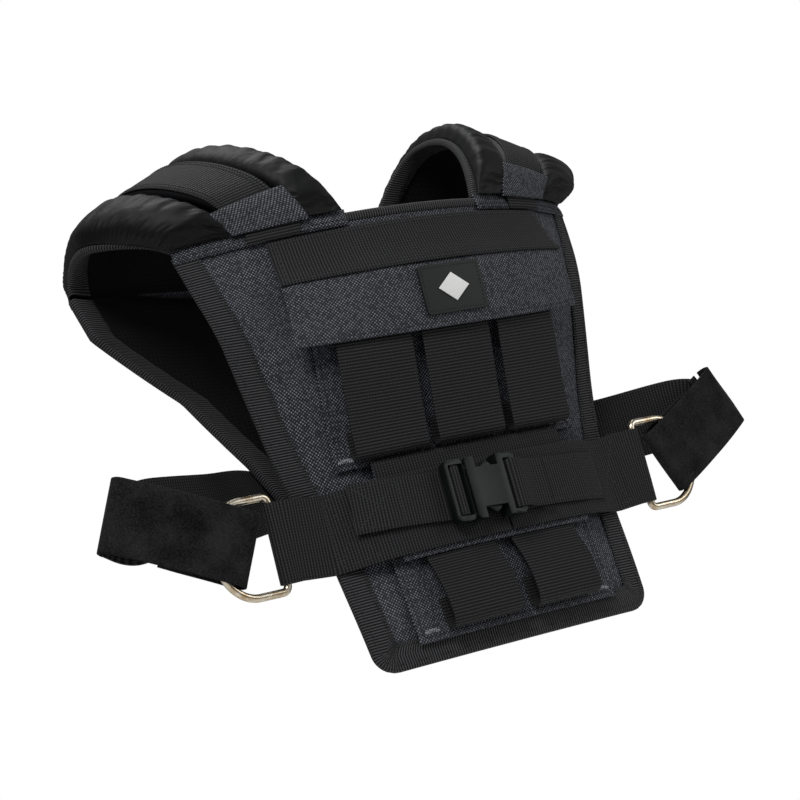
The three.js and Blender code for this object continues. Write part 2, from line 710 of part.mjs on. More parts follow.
// D-ring: straight bar along Z, level sides and a half-elliptic bow reaching outwards.
function makeRing(name, side) {
  const half = (ringInner + ringWire) / 2;
  const corner = 0.7 * ringWire;
  const shoulder = ringDepth - 0.8 * half;
  const line = [[0, -half + corner], [0, 0], [0, half - corner]];
  line.push([corner * 0.3, half - corner * 0.3], [corner, half]);
  line.push([shoulder, half]);
  for (const turn of steps(75, -75, 15)) {
    const angle = THREE.MathUtils.degToRad(turn);
    line.push([shoulder + (ringDepth - shoulder) * Math.cos(angle), half * Math.sin(angle)]);
  }
  line.push([shoulder, -half], [corner, -half], [corner * 0.3, -half + corner * 0.3]);
  const sides = 8;
  const sections = line.map(([x, z], i) => {
    const [x0, z0] = line[(i + line.length - 1) % line.length];
    const [x1, z1] = line[(i + 1) % line.length];
    const size = Math.hypot(x1 - x0, z1 - z0);
    const outX = (z1 - z0) / size;
    const outZ = -(x1 - x0) / size;
    return Array.from({ length: sides }, (_, j) => {
      const angle = (2 * Math.PI * (j + 0.5)) / sides;
      const reach = (ringWire / 2) * Math.cos(angle);
      return vec(side * (ringBarX + x + outX * reach), ringBarY + (ringWire / 2) * Math.sin(angle),
        beltZ + z + outZ * reach);
    });
  });
  throughSections(name, brass, sections, true);
}

for (const [word, side] of [['left', -1], ['right', 1]]) {
  makeStrapEnd(`strap_end_${word}`, side);
  makeSideStrap(`side_strap_${word}`, side);
  makeBeltHalf(`belt_${word}`, side, side === -1 ? beltJoin - gap : beltJoin + gap);
  makeRing(`d_ring_${word}`, side);
}

// ---------- buckle and its webbing ----------

const buckleLift = beltHigh + webThick / 2 + 2.2 + buckleThick / 2;
const buckleFrame = frameAt(front.place(0, buckleZ, buckleLift).setX(buckleX), vec(1, 0, 0), beltSpine, buckleTilt);
part.add(buckleFrame);

const buckleHalf = (maleLength + femaleLength) / 2;
const half = buckleHeight / 2;
const slotHalf = tabWebbing / 2 + 1;
const seamX = -buckleHalf + maleLength;
const frameHalfThick = 4;

// Cuts or joins closed geometries; every geometry is in the buckle's own axes.
function solidOf(geometry) {
  const bare = geometry.clone();
  bare.deleteAttribute('normal');
  bare.deleteAttribute('uv');
  const merged = BufferGeometryUtils.mergeVertices(bare, 1e-4);
  const vertProperties = Float32Array.from(merged.attributes.position.array);
  const triVerts = Uint32Array.from(merged.index.array);
  return new wasm.Manifold(new wasm.Mesh({ numProp: 3, vertProperties, triVerts }));
}

function geometryOf(solid) {
  const { vertProperties, triVerts } = solid.getMesh();
  const geometry = new THREE.BufferGeometry();
  geometry.setAttribute('position', new THREE.BufferAttribute(vertProperties, 3));
  geometry.setIndex(new THREE.BufferAttribute(triVerts, 1));
  geometry.computeVertexNormals();
  return geometry;
}

function block(x0, x1, y0, y1, z0, z1) {
  const geometry = new THREE.BoxGeometry(x1 - x0, y1 - y0, z1 - z0);
  geometry.translate((x0 + x1) / 2, (y0 + y1) / 2, (z0 + z1) / 2);
  return solidOf(geometry);
}

// Male half: ladder frame with two slots and a bar, and a flat guide tongue.
const railWidth = 3;
const slotWidth = 4.5;
const barWidth = 4;
const maleShape = plateShape(-buckleHalf, seamX, -half, half, 5);
const firstSlot = -buckleHalf + railWidth;
const secondSlot = firstSlot + slotWidth + barWidth;
for (const slotStart of [firstSlot, secondSlot]) {
  maleShape.holes.push(plateShape(slotStart, slotStart + slotWidth, -slotHalf, slotHalf, 1.5));
}
const barCut = 2;
const tongueEnd = 8;
const tongueHalf = 4.5;
const insertHalf = 3;
const male = solidOf(upright(maleShape, -frameHalfThick, frameHalfThick))
  .subtract(block(firstSlot + 1, secondSlot + 1, -frameHalfThick - 1, -barCut, -slotHalf, slotHalf))
  .subtract(block(firstSlot + 1, secondSlot + 1, barCut, frameHalfThick + 1, -slotHalf, slotHalf))
  .add(block(seamX - 1, tongueEnd, -insertHalf, insertHalf, -tongueHalf, tongueHalf));
addMesh('buckle_male', geometryOf(male), plastic, buckleFrame);

// Sprung arms: slim roots at the frame and rounded heads that fill the side windows.
const prongGap = 0.4;
const mouthHalf = 20.5;
const prongTop = mouthHalf - 0.5;
const prongEnd = 12;
for (const [word, turn] of [['upper', 1], ['lower', -1]]) {
  const arm = new THREE.Shape();
  const root = seamX + prongGap;
  arm.moveTo(root, turn * 12.5);
  arm.lineTo(root + 14, turn * 11.5);
  arm.lineTo(prongEnd - 2, turn * 9.5);
  arm.lineTo(prongEnd, turn * 11);
  arm.quadraticCurveTo(prongEnd - 1, turn * prongTop, prongEnd - 8, turn * prongTop);
  arm.lineTo(root + 13, turn * 15.5);
  arm.lineTo(root, turn * 15.5);
  arm.closePath();
  addMesh(`prong_${word}`, upright(arm, -insertHalf, insertHalf), plastic, buckleFrame);
}

// Female half: flat housing, open at the mouth and at both side windows, with a web slot.
const mouthX = seamX + gap;
const cavityEnd = 14;
const wallThick = 2.2;
const windowStart = mouthX + 8;
const windowDepth = 8.5;
const femaleShape = plateShape(mouthX, buckleHalf, -half, half, 4);
const webSlotStart = 20.5;
const webBar = 4.5;
femaleShape.holes.push(plateShape(webSlotStart, buckleHalf - webBar, -slotHalf, slotHalf, 1.5));
const halfThick = buckleThick / 2;
const endHalfThick = 3.2;
let female = solidOf(upright(femaleShape, -halfThick, halfThick))
  .subtract(block(mouthX - 1, cavityEnd, -halfThick + wallThick, halfThick - wallThick, -mouthHalf, mouthHalf))
  .subtract(block(webSlotStart - 1, buckleHalf + 1, -halfThick - 1, -endHalfThick, -half - 1, half + 1))
  .subtract(block(webSlotStart - 1, buckleHalf + 1, endHalfThick, halfThick + 1, -half - 1, half + 1));
for (const turn of [1, -1]) {
  const near = turn > 0 ? half - windowDepth : -half - 1;
  const far = turn > 0 ? half + 1 : -half + windowDepth;
  female = female.subtract(block(windowStart, cavityEnd, -halfThick - 1, halfThick + 1, near, far));
}
addMesh('buckle_female', geometryOf(female), plastic, buckleFrame);

// Narrow webbing of each belt half: sewn along the belt, then led through its slot.
const tabThick = 1.4;
const tabEnd = flapSide + 25;
const tabHigh = beltLift(0) + webThick / 2 + 2 * gap + tabThick / 2;
const toBuckle = new THREE.Matrix4().copy(buckleFrame.matrix);
const fromBuckle = toBuckle.clone().invert();
const tabAcross = vec(0, 0, 1).transformDirection(toBuckle);

function tabPath(side, points, sewnFrom) {
  const path = points.map(([x, y]) => vec(x, y, 0).applyMatrix4(toBuckle));
  for (const x of [...beltStops].reverse().filter((stop) => stop > sewnFrom && stop < tabEnd)) {
    const u = side * x;
    const slope = vec(u - buckleX, 0, 0).applyMatrix4(toBuckle).z;
    path.push(front.place(u, beltZ, beltLift(u) - beltLift(0) + tabHigh).setZ(slope));
  }
  return path;
}

const maleSlotX = firstSlot + slotWidth / 2;
const leftPath = tabPath(-1, [[secondSlot + 2.3, 2], [secondSlot + 2.1, 0], [secondSlot + 1.5, -2.4],
  [secondSlot - 0.5, -3.7], [secondSlot - 2, -3.9], [secondSlot - 3.5, -3.7], [maleSlotX + 0.7, -2.4],
  [maleSlotX + 0.1, 0], [maleSlotX - 0.4, 2.6], [maleSlotX - 2.4, 5.6], [maleSlotX - 6, 6.6]], 58);
ribbon('tab_left', ribbed, leftPath, tabAcross, tabWebbing, tabThick);

const webSlotX = (webSlotStart + buckleHalf - webBar) / 2;
const barEnd = buckleHalf;
const rightPath = tabPath(1, [[barEnd + 30, 4.6], [barEnd + 16, 3.8], [barEnd + 8, 0],
  [barEnd + 3, -3.8], [barEnd - 1.5, -4.6], [webSlotX + 1.6, -4.2], [webSlotX, -1.8], [webSlotX, 1.8],
  [webSlotX + 1.6, 4.2], [barEnd - 1.5, 5], [barEnd + 4, 6.4]], 40);
ribbon('tab_right', ribbed, rightPath, tabAcross, tabWebbing, tabThick);

// The origin is the spot between the wearer's shoulders, level with the pads' undersides.
const wearerY = 110;
const wearerZ = 380;
part.position.set(0, -wearerY, -wearerZ);

export default part;
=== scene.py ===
import bmesh
import bpy
import numpy as np
from mathutils import Matrix, Vector


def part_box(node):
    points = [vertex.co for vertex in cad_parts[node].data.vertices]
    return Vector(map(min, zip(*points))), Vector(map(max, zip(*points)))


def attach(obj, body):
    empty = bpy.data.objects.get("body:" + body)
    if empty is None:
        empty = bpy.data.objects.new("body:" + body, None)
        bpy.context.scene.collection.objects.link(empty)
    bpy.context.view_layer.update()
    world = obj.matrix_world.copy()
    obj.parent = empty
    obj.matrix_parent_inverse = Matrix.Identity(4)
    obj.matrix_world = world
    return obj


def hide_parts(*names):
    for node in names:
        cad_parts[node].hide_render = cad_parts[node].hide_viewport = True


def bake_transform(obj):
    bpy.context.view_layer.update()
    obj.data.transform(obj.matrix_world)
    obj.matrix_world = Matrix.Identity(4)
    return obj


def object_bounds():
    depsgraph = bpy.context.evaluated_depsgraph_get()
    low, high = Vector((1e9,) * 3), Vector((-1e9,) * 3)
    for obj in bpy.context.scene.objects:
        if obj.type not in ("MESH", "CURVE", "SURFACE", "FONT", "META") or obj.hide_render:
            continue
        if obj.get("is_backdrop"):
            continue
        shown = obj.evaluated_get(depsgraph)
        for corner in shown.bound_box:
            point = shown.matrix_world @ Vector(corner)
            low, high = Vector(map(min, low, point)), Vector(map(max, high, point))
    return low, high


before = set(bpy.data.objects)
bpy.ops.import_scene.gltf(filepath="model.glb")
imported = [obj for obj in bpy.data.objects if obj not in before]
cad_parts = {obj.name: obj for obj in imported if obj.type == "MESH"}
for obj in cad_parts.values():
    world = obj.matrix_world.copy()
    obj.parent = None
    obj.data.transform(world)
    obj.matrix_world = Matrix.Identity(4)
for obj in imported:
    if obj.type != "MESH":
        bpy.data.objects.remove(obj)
cad_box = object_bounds()


# ---- Front and back panels ----
# Two padded panels hang round the chest. Each is a foam pad between an oxford nylon cover and a
# mesh lining, sewn flat along its edges. The pad is swelled by a short cloth simulation.

body_height = 340
margin = 20                 # squeezed edge that the binding tape covers
margin_dip = 3
corner = 15
origin = np.array([0, -110, -380])


def read(table, at):
    """Straight-line reading of a list of (place, value) pairs."""
    places, values = zip(*table)
    return np.interp(at, places, values)


def ease(at, low, high):
    """Smooth step from 0 at low to 1 at high."""
    way = np.clip((at - low) / (high - low), 0, 1)
    return way * way * (3 - 2 * way)


def mix(a, b, share):
    return a + (b - a) * share


class Panel:
    """A sheet bent round the chest: u across, s up from the hem, h off its outer face, in mm.
    Its middle line is a walk in 5 mm strides at the leans listed; across it, the sheet is an arc."""

    def __init__(self, leans, start, facing, bends, widths):
        self.leans, self.facing, self.bends, self.widths = leans, facing, bends, widths
        self.stops = np.arange(0, 365, 5)
        lean = np.radians(read(leans, self.stops[:-1] + 2.5))
        self.y = start[0] + np.append(0, np.cumsum(5 * np.sin(lean)))
        self.z = start[1] + np.append(0, np.cumsum(5 * np.cos(lean)))

    def place(self, u, s, h):
        """Point at u, s, h in the row frame, in metres."""
        u, s, h = np.broadcast_arrays(*(np.asarray(v, float) for v in (u, s, h)))
        below = np.minimum(s, 0) / 5
        lean = np.radians(read(self.leans, s))
        bend = mix(*self.bends, s / body_height)
        x = np.sin(bend * u) * (1 / bend + h)
        inward = (1 - np.cos(bend * u)) / bend - h * np.cos(bend * u)
        y = np.interp(s, self.stops, self.y) + below * (self.y[1] - self.y[0])
        z = np.interp(s, self.stops, self.z) + below * (self.z[1] - self.z[0])
        y = y - self.facing * inward * np.cos(lean)
        z = z + self.facing * inward * np.sin(lean)
        return (np.stack([x, y, z], -1) + origin) / 1000

    def half(self, s, inset=0):
        """Half width at s of the outline moved in by inset, with round lower corners."""
        full = read(self.widths, s) - inset
        round_by = max(corner - inset, 3)
        rise = np.clip(round_by - (s - inset), 0, round_by)
        return full - round_by + np.sqrt(round_by ** 2 - rise ** 2)

    def outer(self, u, s):
        """Height of the outer face: 0 inside, and 3 mm lower on the squeezed margin."""
        inside = np.minimum(np.minimum(self.half(np.maximum(s, corner)) - np.abs(u), s), body_height - s)
        return -margin_dip * (1 - ease(inside, margin, 1.8 * margin))


front = Panel([(0, 5), (60, 9), (120, 6.5), (190, -9.6), (250, -11.5), (300, 1), (340, 3)],
              (0, 0), -1, (1 / 1000, 1 / 315), [(0, 126), (82, 132), (165, 154), (340, 198)])
back = Panel([(0, 4), (60, 14), (100, 30), (180, 30), (340, 22)],
             (52, 6), 1, (1 / 900, 1 / 700),
             [(0, 88), (80, 116), (175, 142), (240, 170), (300, 230), (340, 236)])


class Wire:
    """A shader socket. Operators add Math nodes, and node() adds any other node."""

    def __init__(self, tree, socket=None):
        self.tree, self.socket = tree, socket

    def node(self, kind, inputs=(), out=0, **settings):
        """Adds a node, makes its settings, then sets or links its sockets; gives output out."""
        made = self.tree.nodes.new(kind)
        for name, value in settings.items():
            setattr(made, name, value)
        for name, value in dict(inputs).items():
            if isinstance(value, Wire):
                self.tree.links.new(value.socket, made.inputs[name])
            else:
                made.inputs[name].default_value = value
        return Wire(self.tree, made.outputs[out])

    def maths(self, operation, *values, **settings):
        return self.node("ShaderNodeMath", enumerate(values), operation=operation, **settings)

    def __add__(self, other):
        return self.maths("ADD", self, other)

    def __sub__(self, other):
        return self.maths("SUBTRACT", self, other)

    def __rsub__(self, other):
        return self.maths("SUBTRACT", other, self)

    def __mul__(self, other):
        return self.maths("MULTIPLY", self, other)

    __radd__, __rmul__ = __add__, __mul__

    def wave(self, period):
        """0 to 1 and back once in each period."""
        return self.maths("SINE", self * (2 * np.pi / period)) * 0.5 + 0.5

    def step(self, low, high):
        """Smooth step from 0 at low to 1 at high."""
        return self.node("ShaderNodeMapRange", {"Value": self, "From Min": low, "From Max": high},
                         interpolation_type="SMOOTHSTEP")

    def blend(self, first, second):
        """Colour between first and second, by this wire."""
        colours = {6: first, 7: second}
        fit = {i: (*c, 1) if isinstance(c, tuple) else c for i, c in colours.items()}
        return self.node("ShaderNodeMix", {0: self, **fit}, out=2, data_type="RGBA")


def finish(name, **fixed):
    """New Principled material with these fixed sockets; gives it and a wire source in its tree."""
    material = bpy.data.materials.new(name)
    material.use_nodes = True
    shader = material.node_tree.nodes["Principled BSDF"]
    for socket, value in fixed.items():
        shader.inputs[socket.replace("_", " ")].default_value = value
    return material, Wire(material.node_tree)


def wear(material, colour, roughness, height, depth, strength=1.0):
    """Links colour and roughness, and a bump of this height (wire, 0 to 1) and depth in metres."""
    shader = material.node_tree.nodes["Principled BSDF"]
    tree = material.node_tree
    bump = Wire(tree).node("ShaderNodeBump", {"Height": height, "Distance": depth, "Strength": strength})
    for socket, wire in (("Base Color", colour), ("Roughness", roughness), ("Normal", bump)):
        if isinstance(wire, Wire):
            tree.links.new(wire.socket, shader.inputs[socket])
    return material


def noise(start, scale, detail=2.0, where=None, roughness=0.5):
    """Noise of 0 to 1 on Object coordinates, or on the vector wire where."""
    vector = where or start.node("ShaderNodeTexCoord", out=3)
    return start.node("ShaderNodeTexNoise",
                      {"Vector": vector, "Scale": scale, "Detail": detail, "Roughness": roughness})


def flat_pattern(start):
    """The piece's own UV map, in metres across and along, as two wires."""
    spot = start.node("ShaderNodeUVMap", uv_map="weave")
    split = start.node("ShaderNodeSeparateXYZ", {0: spot})
    return split, Wire(start.tree, split.socket.node.outputs[1])


oxford, start = finish("oxford_nylon", Sheen_Weight=0.03, Sheen_Roughness=0.4, Specular_IOR_Level=0.3)
across, along = flat_pattern(start)
drift = noise(start, 30, 3)
warp_thread = (across + drift * 0.0008).wave(0.0027)
weft_thread = (along + drift * 0.0008).wave(0.0027)
basket = warp_thread * weft_thread + (1 - warp_thread) * (1 - weft_thread)
glint = basket.step(0.45, 0.95) * (noise(start, 420, 2).step(0.35, 0.6) * 0.8 + 0.2)
shade = noise(start, 9, 4).step(0.3, 0.7)
base = shade.blend((0.0034, 0.0038, 0.0052), (0.0120, 0.0132, 0.0168))
wear(oxford, (glint * 0.85).blend(base, (0.25, 0.26, 0.31)), 0.66 - glint * 0.28, basket, 0.0005)

lining, start = finish("spacer_mesh", Specular_IOR_Level=0.15)
across, along = flat_pattern(start)
hole = (across.wave(0.0036) * along.wave(0.0036)).step(0.35, 0.6)
speck = noise(start, 500, 2)
wear(lining, hole.blend((0.0040, 0.0042, 0.0048), (0.0008, 0.0008, 0.0009)), 0.85 + speck * 0.1,
     1 - hole, 0.0005)


def surface(name, points, uv, closed=False, capped=False):
    """Faces between the neighbours of a grid of points (rows, columns, 3). closed joins the last
    column to the first, capped closes the first and last row. uv is in metres, one column longer
    than points where closed. The side that faces out is found from the volume."""
    rows, columns = points.shape[:2]
    i, j = np.meshgrid(np.arange(rows - 1), np.arange(columns - (not closed)), indexing="ij")
    i, j = i.ravel(), j.ravel()
    k = (j + 1) % columns
    faces = np.stack([i * columns + j, i * columns + k, (i + 1) * columns + k, (i + 1) * columns + j], -1)
    corners = np.stack([uv[i, j], uv[i, j + 1], uv[i + 1, j + 1], uv[i + 1, j]], 1).reshape(-1, 2)
    flat = points.reshape(-1, 3)
    a, b, c, d = (flat[faces[:, n]] for n in range(4))
    inside = np.einsum("ij,ij->", a, np.cross(b, c)) + np.einsum("ij,ij->", a, np.cross(c, d))
    faces = faces.tolist()
    if capped:
        ring = np.arange(columns)
        faces += [ring[::-1].tolist(), (ring + (rows - 1) * columns).tolist()]
        corners = np.concatenate([corners, uv[0, ring[::-1]], uv[-1, ring]])
    mesh = bpy.data.meshes.new(name)
    mesh.from_pydata(flat.tolist(), [], faces)
    layer = mesh.uv_layers.new(name="weave")
    layer.data.foreach_set("uv", corners.ravel().astype(np.float32))
    mesh.polygons.foreach_set("use_smooth", [True] * len(faces))
    if inside < 0:
        mesh.flip_normals()
    mesh.update()
    return mesh


def piece(name, mesh, body, material_slot, *materials, stands_for=()):
    """Puts a mesh into the scene as a piece that rides on a body, or on none yet."""
    made = bpy.data.objects.new(name, mesh)
    bpy.context.scene.collection.objects.link(made)
    for material in materials:
        mesh.materials.append(material)
    if body:
        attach(made, body)
    if stands_for:
        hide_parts(*stands_for)
    return made


def points_of(mesh):
    flat = np.empty(len(mesh.vertices) * 3, np.float32)
    mesh.vertices.foreach_get("co", flat)
    return flat.reshape(-1, 3).astype(float)


def swell(mesh, pressure, reach, frames=20):
    """Blows a closed pad up as cloth with no gravity. No point moves further than its reach, in
    metres. The mesh keeps its points' order, and nothing live is left on it."""
    rest = points_of(mesh)
    pad = bpy.data.objects.new("pad", mesh)
    scene = bpy.context.scene
    scene.collection.objects.link(pad)
    cloth = pad.modifiers.new("cloth", "CLOTH")
    cloth.settings.quality = 5
    cloth.settings.use_pressure = True
    cloth.settings.uniform_pressure_force = pressure
    cloth.settings.effector_weights.gravity = 0
    cloth.point_cache.frame_start, cloth.point_cache.frame_end = 1, frames
    for number in range(1, frames + 1):
        scene.frame_set(number)
    blown = bpy.data.meshes.new_from_object(pad.evaluated_get(bpy.context.evaluated_depsgraph_get()))
    moved = points_of(blown) - rest
    far = np.linalg.norm(moved, axis=1)
    moved *= np.minimum(1, np.broadcast_to(reach, far.shape) / np.maximum(far, 1e-9))[:, None]
    mesh.vertices.foreach_set("co", (rest + moved).ravel())
    scene.frame_set(1)
    bpy.data.objects.remove(pad)
    mesh.update()
    return mesh


def ripple(a, b, seed, size, height):
    """Soft unevenness of cloth: six waves of about this size in mm, from seeded directions."""
    chance = np.random.default_rng(seed)
    total = 0
    for _ in range(6):
        turn, phase = chance.uniform(0, 2 * np.pi, 2)
        length = size * chance.uniform(0.7, 1.6)
        total = total + np.sin((a * np.cos(turn) + b * np.sin(turn)) * 2 * np.pi / length + phase)
    return height * total / 3


def make_panel(word, panel, spare):
    """The closed pad: a ring across (outer face, then inner face) carried from hem to top seam.
    The ring starts spare mm inside the cover and is blown out to it; its margin stays flat."""
    side = np.linspace(-1, 1, 61)
    level = np.concatenate([[0.4, 2, 5, 9, 15], np.arange(20, 321, 5), [325, 330, 335, 339.6]])
    column, s = np.meshgrid(side, level)
    u = column * (panel.half(s) - 1)
    lift = panel.outer(u, s)
    inside = 1 + lift / margin_dip
    thick = mix(3.8, 12.4, inside)
    wrinkle = (ripple(u, s, 3, 62, 1.0) + ripple(u, s, 9, 27, 0.35)) * inside
    top = panel.place(u, s, lift - spare * inside + wrinkle)
    low = panel.place(u, s, lift - thick + spare * inside + wrinkle)
    ring = np.concatenate([top, low[:, ::-1]], 1)
    weave = np.stack([u, s], -1) / 1000
    weave = np.concatenate([weave, weave[:, ::-1], weave[:, :1]], 1)
    reach = np.concatenate([inside, inside[:, ::-1]], 1).ravel() * spare / 1000
    pad = swell(surface(word + "_pad", ring, weave, True, True), 4, reach)
    below = np.tile(np.arange(122) > 60, len(level) - 1).astype(np.int32)
    pad.polygons.foreach_set("material_index", np.append(below, [0, 0]).astype(np.int32))
    made = piece(word + "_panel", pad, "vest", "oxford", oxford, lining,
                 stands_for=[word + "_cover", word + "_foam", word + "_lining"])
    finer = made.modifiers.new("finer", "SUBSURF")
    finer.levels = finer.render_levels = 1
    return made


make_panel("front", front, 1.2)
make_panel("back", back, 1.2)


# ---- Binding tape ----
# Ribbed polyester tape, folded over the raw edge of each panel along the hem and both sides,
# and held by two rows of dark thread.

tape, start = finish("binding_tape", Sheen_Weight=0.03, Sheen_Roughness=0.4, Specular_IOR_Level=0.25)
across, along = flat_pattern(start)
cord_rib = along.wave(0.0021)
pick = across.wave(0.0014)
fuzz = noise(start, 900, 2)
rib_light = cord_rib.step(0.3, 0.95) * (pick * 0.4 + 0.6) * (fuzz * 0.5 + 0.6)
wear(tape, rib_light.blend((0.0014, 0.0014, 0.0016), (0.0850, 0.0860, 0.0920)), 0.82 - rib_light * 0.15,
     cord_rib * 0.8 + pick * 0.2, 0.00055)

dark_thread, start = finish("dark_thread", Specular_IOR_Level=0.4)
twist = noise(start, 1500, 2)
wear(dark_thread, twist.blend((0.008, 0.0083, 0.009), (0.026, 0.027, 0.030)), 0.55 + twist * 0.2,
     twist, 0.0001)
pale_thread, start = finish("pale_thread", Specular_IOR_Level=0.4)
twist = noise(start, 1500, 2)
wear(pale_thread, twist.blend((0.16, 0.17, 0.19), (0.38, 0.39, 0.42)), 0.55 + twist * 0.2, twist, 0.0001)


def lengths(points):
    """Distance along a row of points, from its start."""
    return np.append(0, np.cumsum(np.linalg.norm(np.diff(points, axis=0), axis=1)))


def outline(panel, inset):
    """Left side, hem and right side of a panel's outline moved in by inset, as u and s."""
    rising = np.concatenate([inset + np.linspace(0.4, max(corner - inset, 3), 8), np.linspace(26, 336, 80)])
    half = panel.half(rising, inset)
    floor = panel.half(np.array([inset + 0.0]), inset)[0]
    hem = np.linspace(-1, 1, 44) * floor
    u = np.concatenate([-half[::-1], hem, half])
    return u, np.concatenate([rising[::-1], np.full(44, float(inset)), rising])


def make_binding(word, panel):
    """A U-shaped section (outer lip, round fold at the raw edge, inner lip and back again inside)
    carried along the outline; each ring of the section lies at its own inset and height."""
    high, low, thick, lip = -2.5, -7.3, 1.2, margin - 1
    turn = np.radians([0, 45, 90, 135, 180])
    middle, reach = (high + low) / 2, (high - low) / 2
    fold = [(-thick * 0.9 * np.sin(t) - 0.4, middle + (reach + thick) * np.cos(t)) for t in turn]
    ring = [(lip, high + 0.1), (lip, high + thick), *[(i, high + thick) for i in (15, 10, 5, 1)], *fold,
            *[(i, low - thick) for i in (5, 12)], (lip, low - thick), (lip, low), (5, low), (1, low + 0.4),
            (0.6, middle), (1, high - 0.4), (8, high)]
    lines = []
    for inset, height in ring:
        u, s = outline(panel, inset)
        wave = 0.25 * np.sin(np.arange(len(u)) * 1.7) * (inset > 2)
        lines.append(panel.place(u, s, height + wave))
    grid = np.stack(lines, 1)
    run = lengths(panel.place(*outline(panel, 0), -3.0))
    girth = lengths(np.array([[*spot, 0] for spot in ring + ring[:1]])) / 1000
    uv = np.stack(np.broadcast_arrays(girth[None, :], run[:, None]), -1)
    mesh = surface(word + "_edge_tape", grid, uv, True, True)
    piece(word + "_edge_tape", mesh, "vest", "binding_tape", tape,
          stands_for=[word + "_binding"])


def stitches(name, body, place, routes, thread=dark_thread, size=0.42, pitch=3.8, sunk=0.1):
    """Rows of lock stitches. Each route is a list of (a, b) corners; place(a, b, h) gives points.
    A stitch is a five-sided bead along its stretch, thin at both ends where it dives in."""
    starts, ends = [], []
    for route in routes:
        route = np.array(route, float)
        run = lengths(route)
        count = max(1, int(run[-1] / pitch))
        begin = np.arange(count) * run[-1] / count
        for edge, store in ((0.1, starts), (0.9, ends)):
            at = begin + edge * run[-1] / count
            store.append(np.stack([np.interp(at, run, route[:, 0]), np.interp(at, run, route[:, 1])], -1))
    starts, ends = np.concatenate(starts), np.concatenate(ends)
    a0, a1 = place(*starts.T, -sunk), place(*ends.T, -sunk)
    up = place(*((starts + ends) / 2).T, 5.0) - place(*((starts + ends) / 2).T, 0.0)
    up /= np.linalg.norm(up, axis=1, keepdims=True)
    forward = a1 - a0
    side = np.cross(forward, up)
    side /= np.maximum(np.linalg.norm(side, axis=1, keepdims=True), 1e-9)
    way = np.array([0, 0.22, 0.78, 1])[:, None]
    girth = np.array([0.25, 1, 1, 0.25])[:, None] * size / 1000
    angle = np.linspace(0, 2 * np.pi, 6)[None, :5]
    rows = (a0[:, None, None] + forward[:, None, None] * way[None, ..., None]
            + side[:, None, None] * (girth * np.cos(angle))[None, ..., None]
            + up[:, None, None] * (girth * (np.sin(angle) + 0.35))[None, ..., None])
    one = [[r * 5 + c, r * 5 + (c + 1) % 5, (r + 1) * 5 + (c + 1) % 5, (r + 1) * 5 + c]
           for r in range(3) for c in range(5)]
    shift = np.arange(len(starts))[:, None, None] * 20
    faces = (np.array(one)[None] + shift).reshape(-1, 4).tolist()
    for cap in ([4, 3, 2, 1, 0], [15, 16, 17, 18, 19]):
        faces += (np.array(cap)[None] + shift[:, 0]).tolist()
    mesh = bpy.data.meshes.new(name)
    mesh.from_pydata(rows.reshape(-1, 3).tolist(), [], faces)
    mesh.polygons.foreach_set("use_smooth", [True] * len(faces))
    mesh.update()
    slot_name = "mark_white" if thread is pale_thread else "webbing"
    return piece(name, mesh, body, slot_name, thread)


for word, panel in (("front", front), ("back", back)):
    make_binding(word, panel)
    edge_rows = [np.stack(outline(panel, inset), -1) for inset in (3.5, 16.5)]
    stitches(word + "_edge_stitching", "vest", lambda a, b, h: panel.place(a, b, h - 1.15), edge_rows)


# ---- Shoulder pads ----
# Each pad arches from the front panel's top seam to the back panel's. Two soft rolls of satin
# nylon lie beside a flat channel with webbing sewn over it, on a base edged with tape.

satin, start = finish("satin_nylon", Sheen_Weight=0.02, Sheen_Roughness=0.35, Specular_IOR_Level=0.2)
pucker = noise(start, 45, 4)
grain = noise(start, 1400, 2)
tone = noise(start, 14, 3).step(0.3, 0.7)
wear(satin, tone.blend((0.0010, 0.0011, 0.0015), (0.0026, 0.0029, 0.0040)), 0.46 + pucker * 0.16,
     pucker * 0.85 + grain * 0.15, 0.0018, 0.45)

neck_half = 62              # half width of the neck opening
front_chest, back_blade = 198, 236      # half widths of the panels at the shoulder seams
seam_at = body_height + 0.6
ridge_neck, ridge_arm = (104, 124, 416), (232, 106, 357)    # top of a pad at its two edges
pad_wide, pad_long = 140, 480           # across, and over the shoulder from seam to seam
channel_edges = 38.1, 82.3              # the firm strip under the webbing, across the pad


def shoulder_line(side, t, v):
    """Upper face of a pad: t from front seam to back seam, v from neck edge to outer edge. Two
    cubic Bezier curves meet at the ridge."""
    start = front.place(side * mix(neck_half, front_chest - 2, v), seam_at + 0 * t, -margin_dip) * 1000
    end = back.place(side * mix(neck_half, back_blade - 2, v), seam_at + 0 * t, -margin_dip) * 1000
    x, y, z = (mix(*pair, v) + 0 * t for pair in zip(ridge_neck, ridge_arm))
    ridge = np.stack([side * x, y, z + 12 * v * (1 - v)], -1) + origin

    def bent(foot, push, lift, flat):
        """The two inner handles between a foot and the ridge."""
        low, high = foot.copy(), ridge.copy()
        low[..., 0] = mix(foot[..., 0], ridge[..., 0], 0.2)
        low[..., 1] += push
        low[..., 2] += lift * (ridge[..., 2] - foot[..., 2])
        high[..., 1] = mix(foot[..., 1], ridge[..., 1], flat)
        return low, high

    low, high = bent(start, 4, 0.45, 0.5)
    fall, rest = bent(end, -2, 0.5, 0.45)
    q = np.where(t < 0.5, 2 * t, 2 * t - 1)[..., None]
    ahead = (t < 0.5)[..., None]
    p = [np.where(ahead, a, b) for a, b in ((start, ridge), (low, rest), (high, fall), (ridge, end))]
    shares = (1 - q) ** 3, 3 * q * (1 - q) ** 2, 3 * q * q * (1 - q), q ** 3
    return sum(point * share for point, share in zip(p, shares)) / 1000


def unit(vectors):
    return vectors / np.maximum(np.linalg.norm(vectors, axis=-1, keepdims=True), 1e-12)


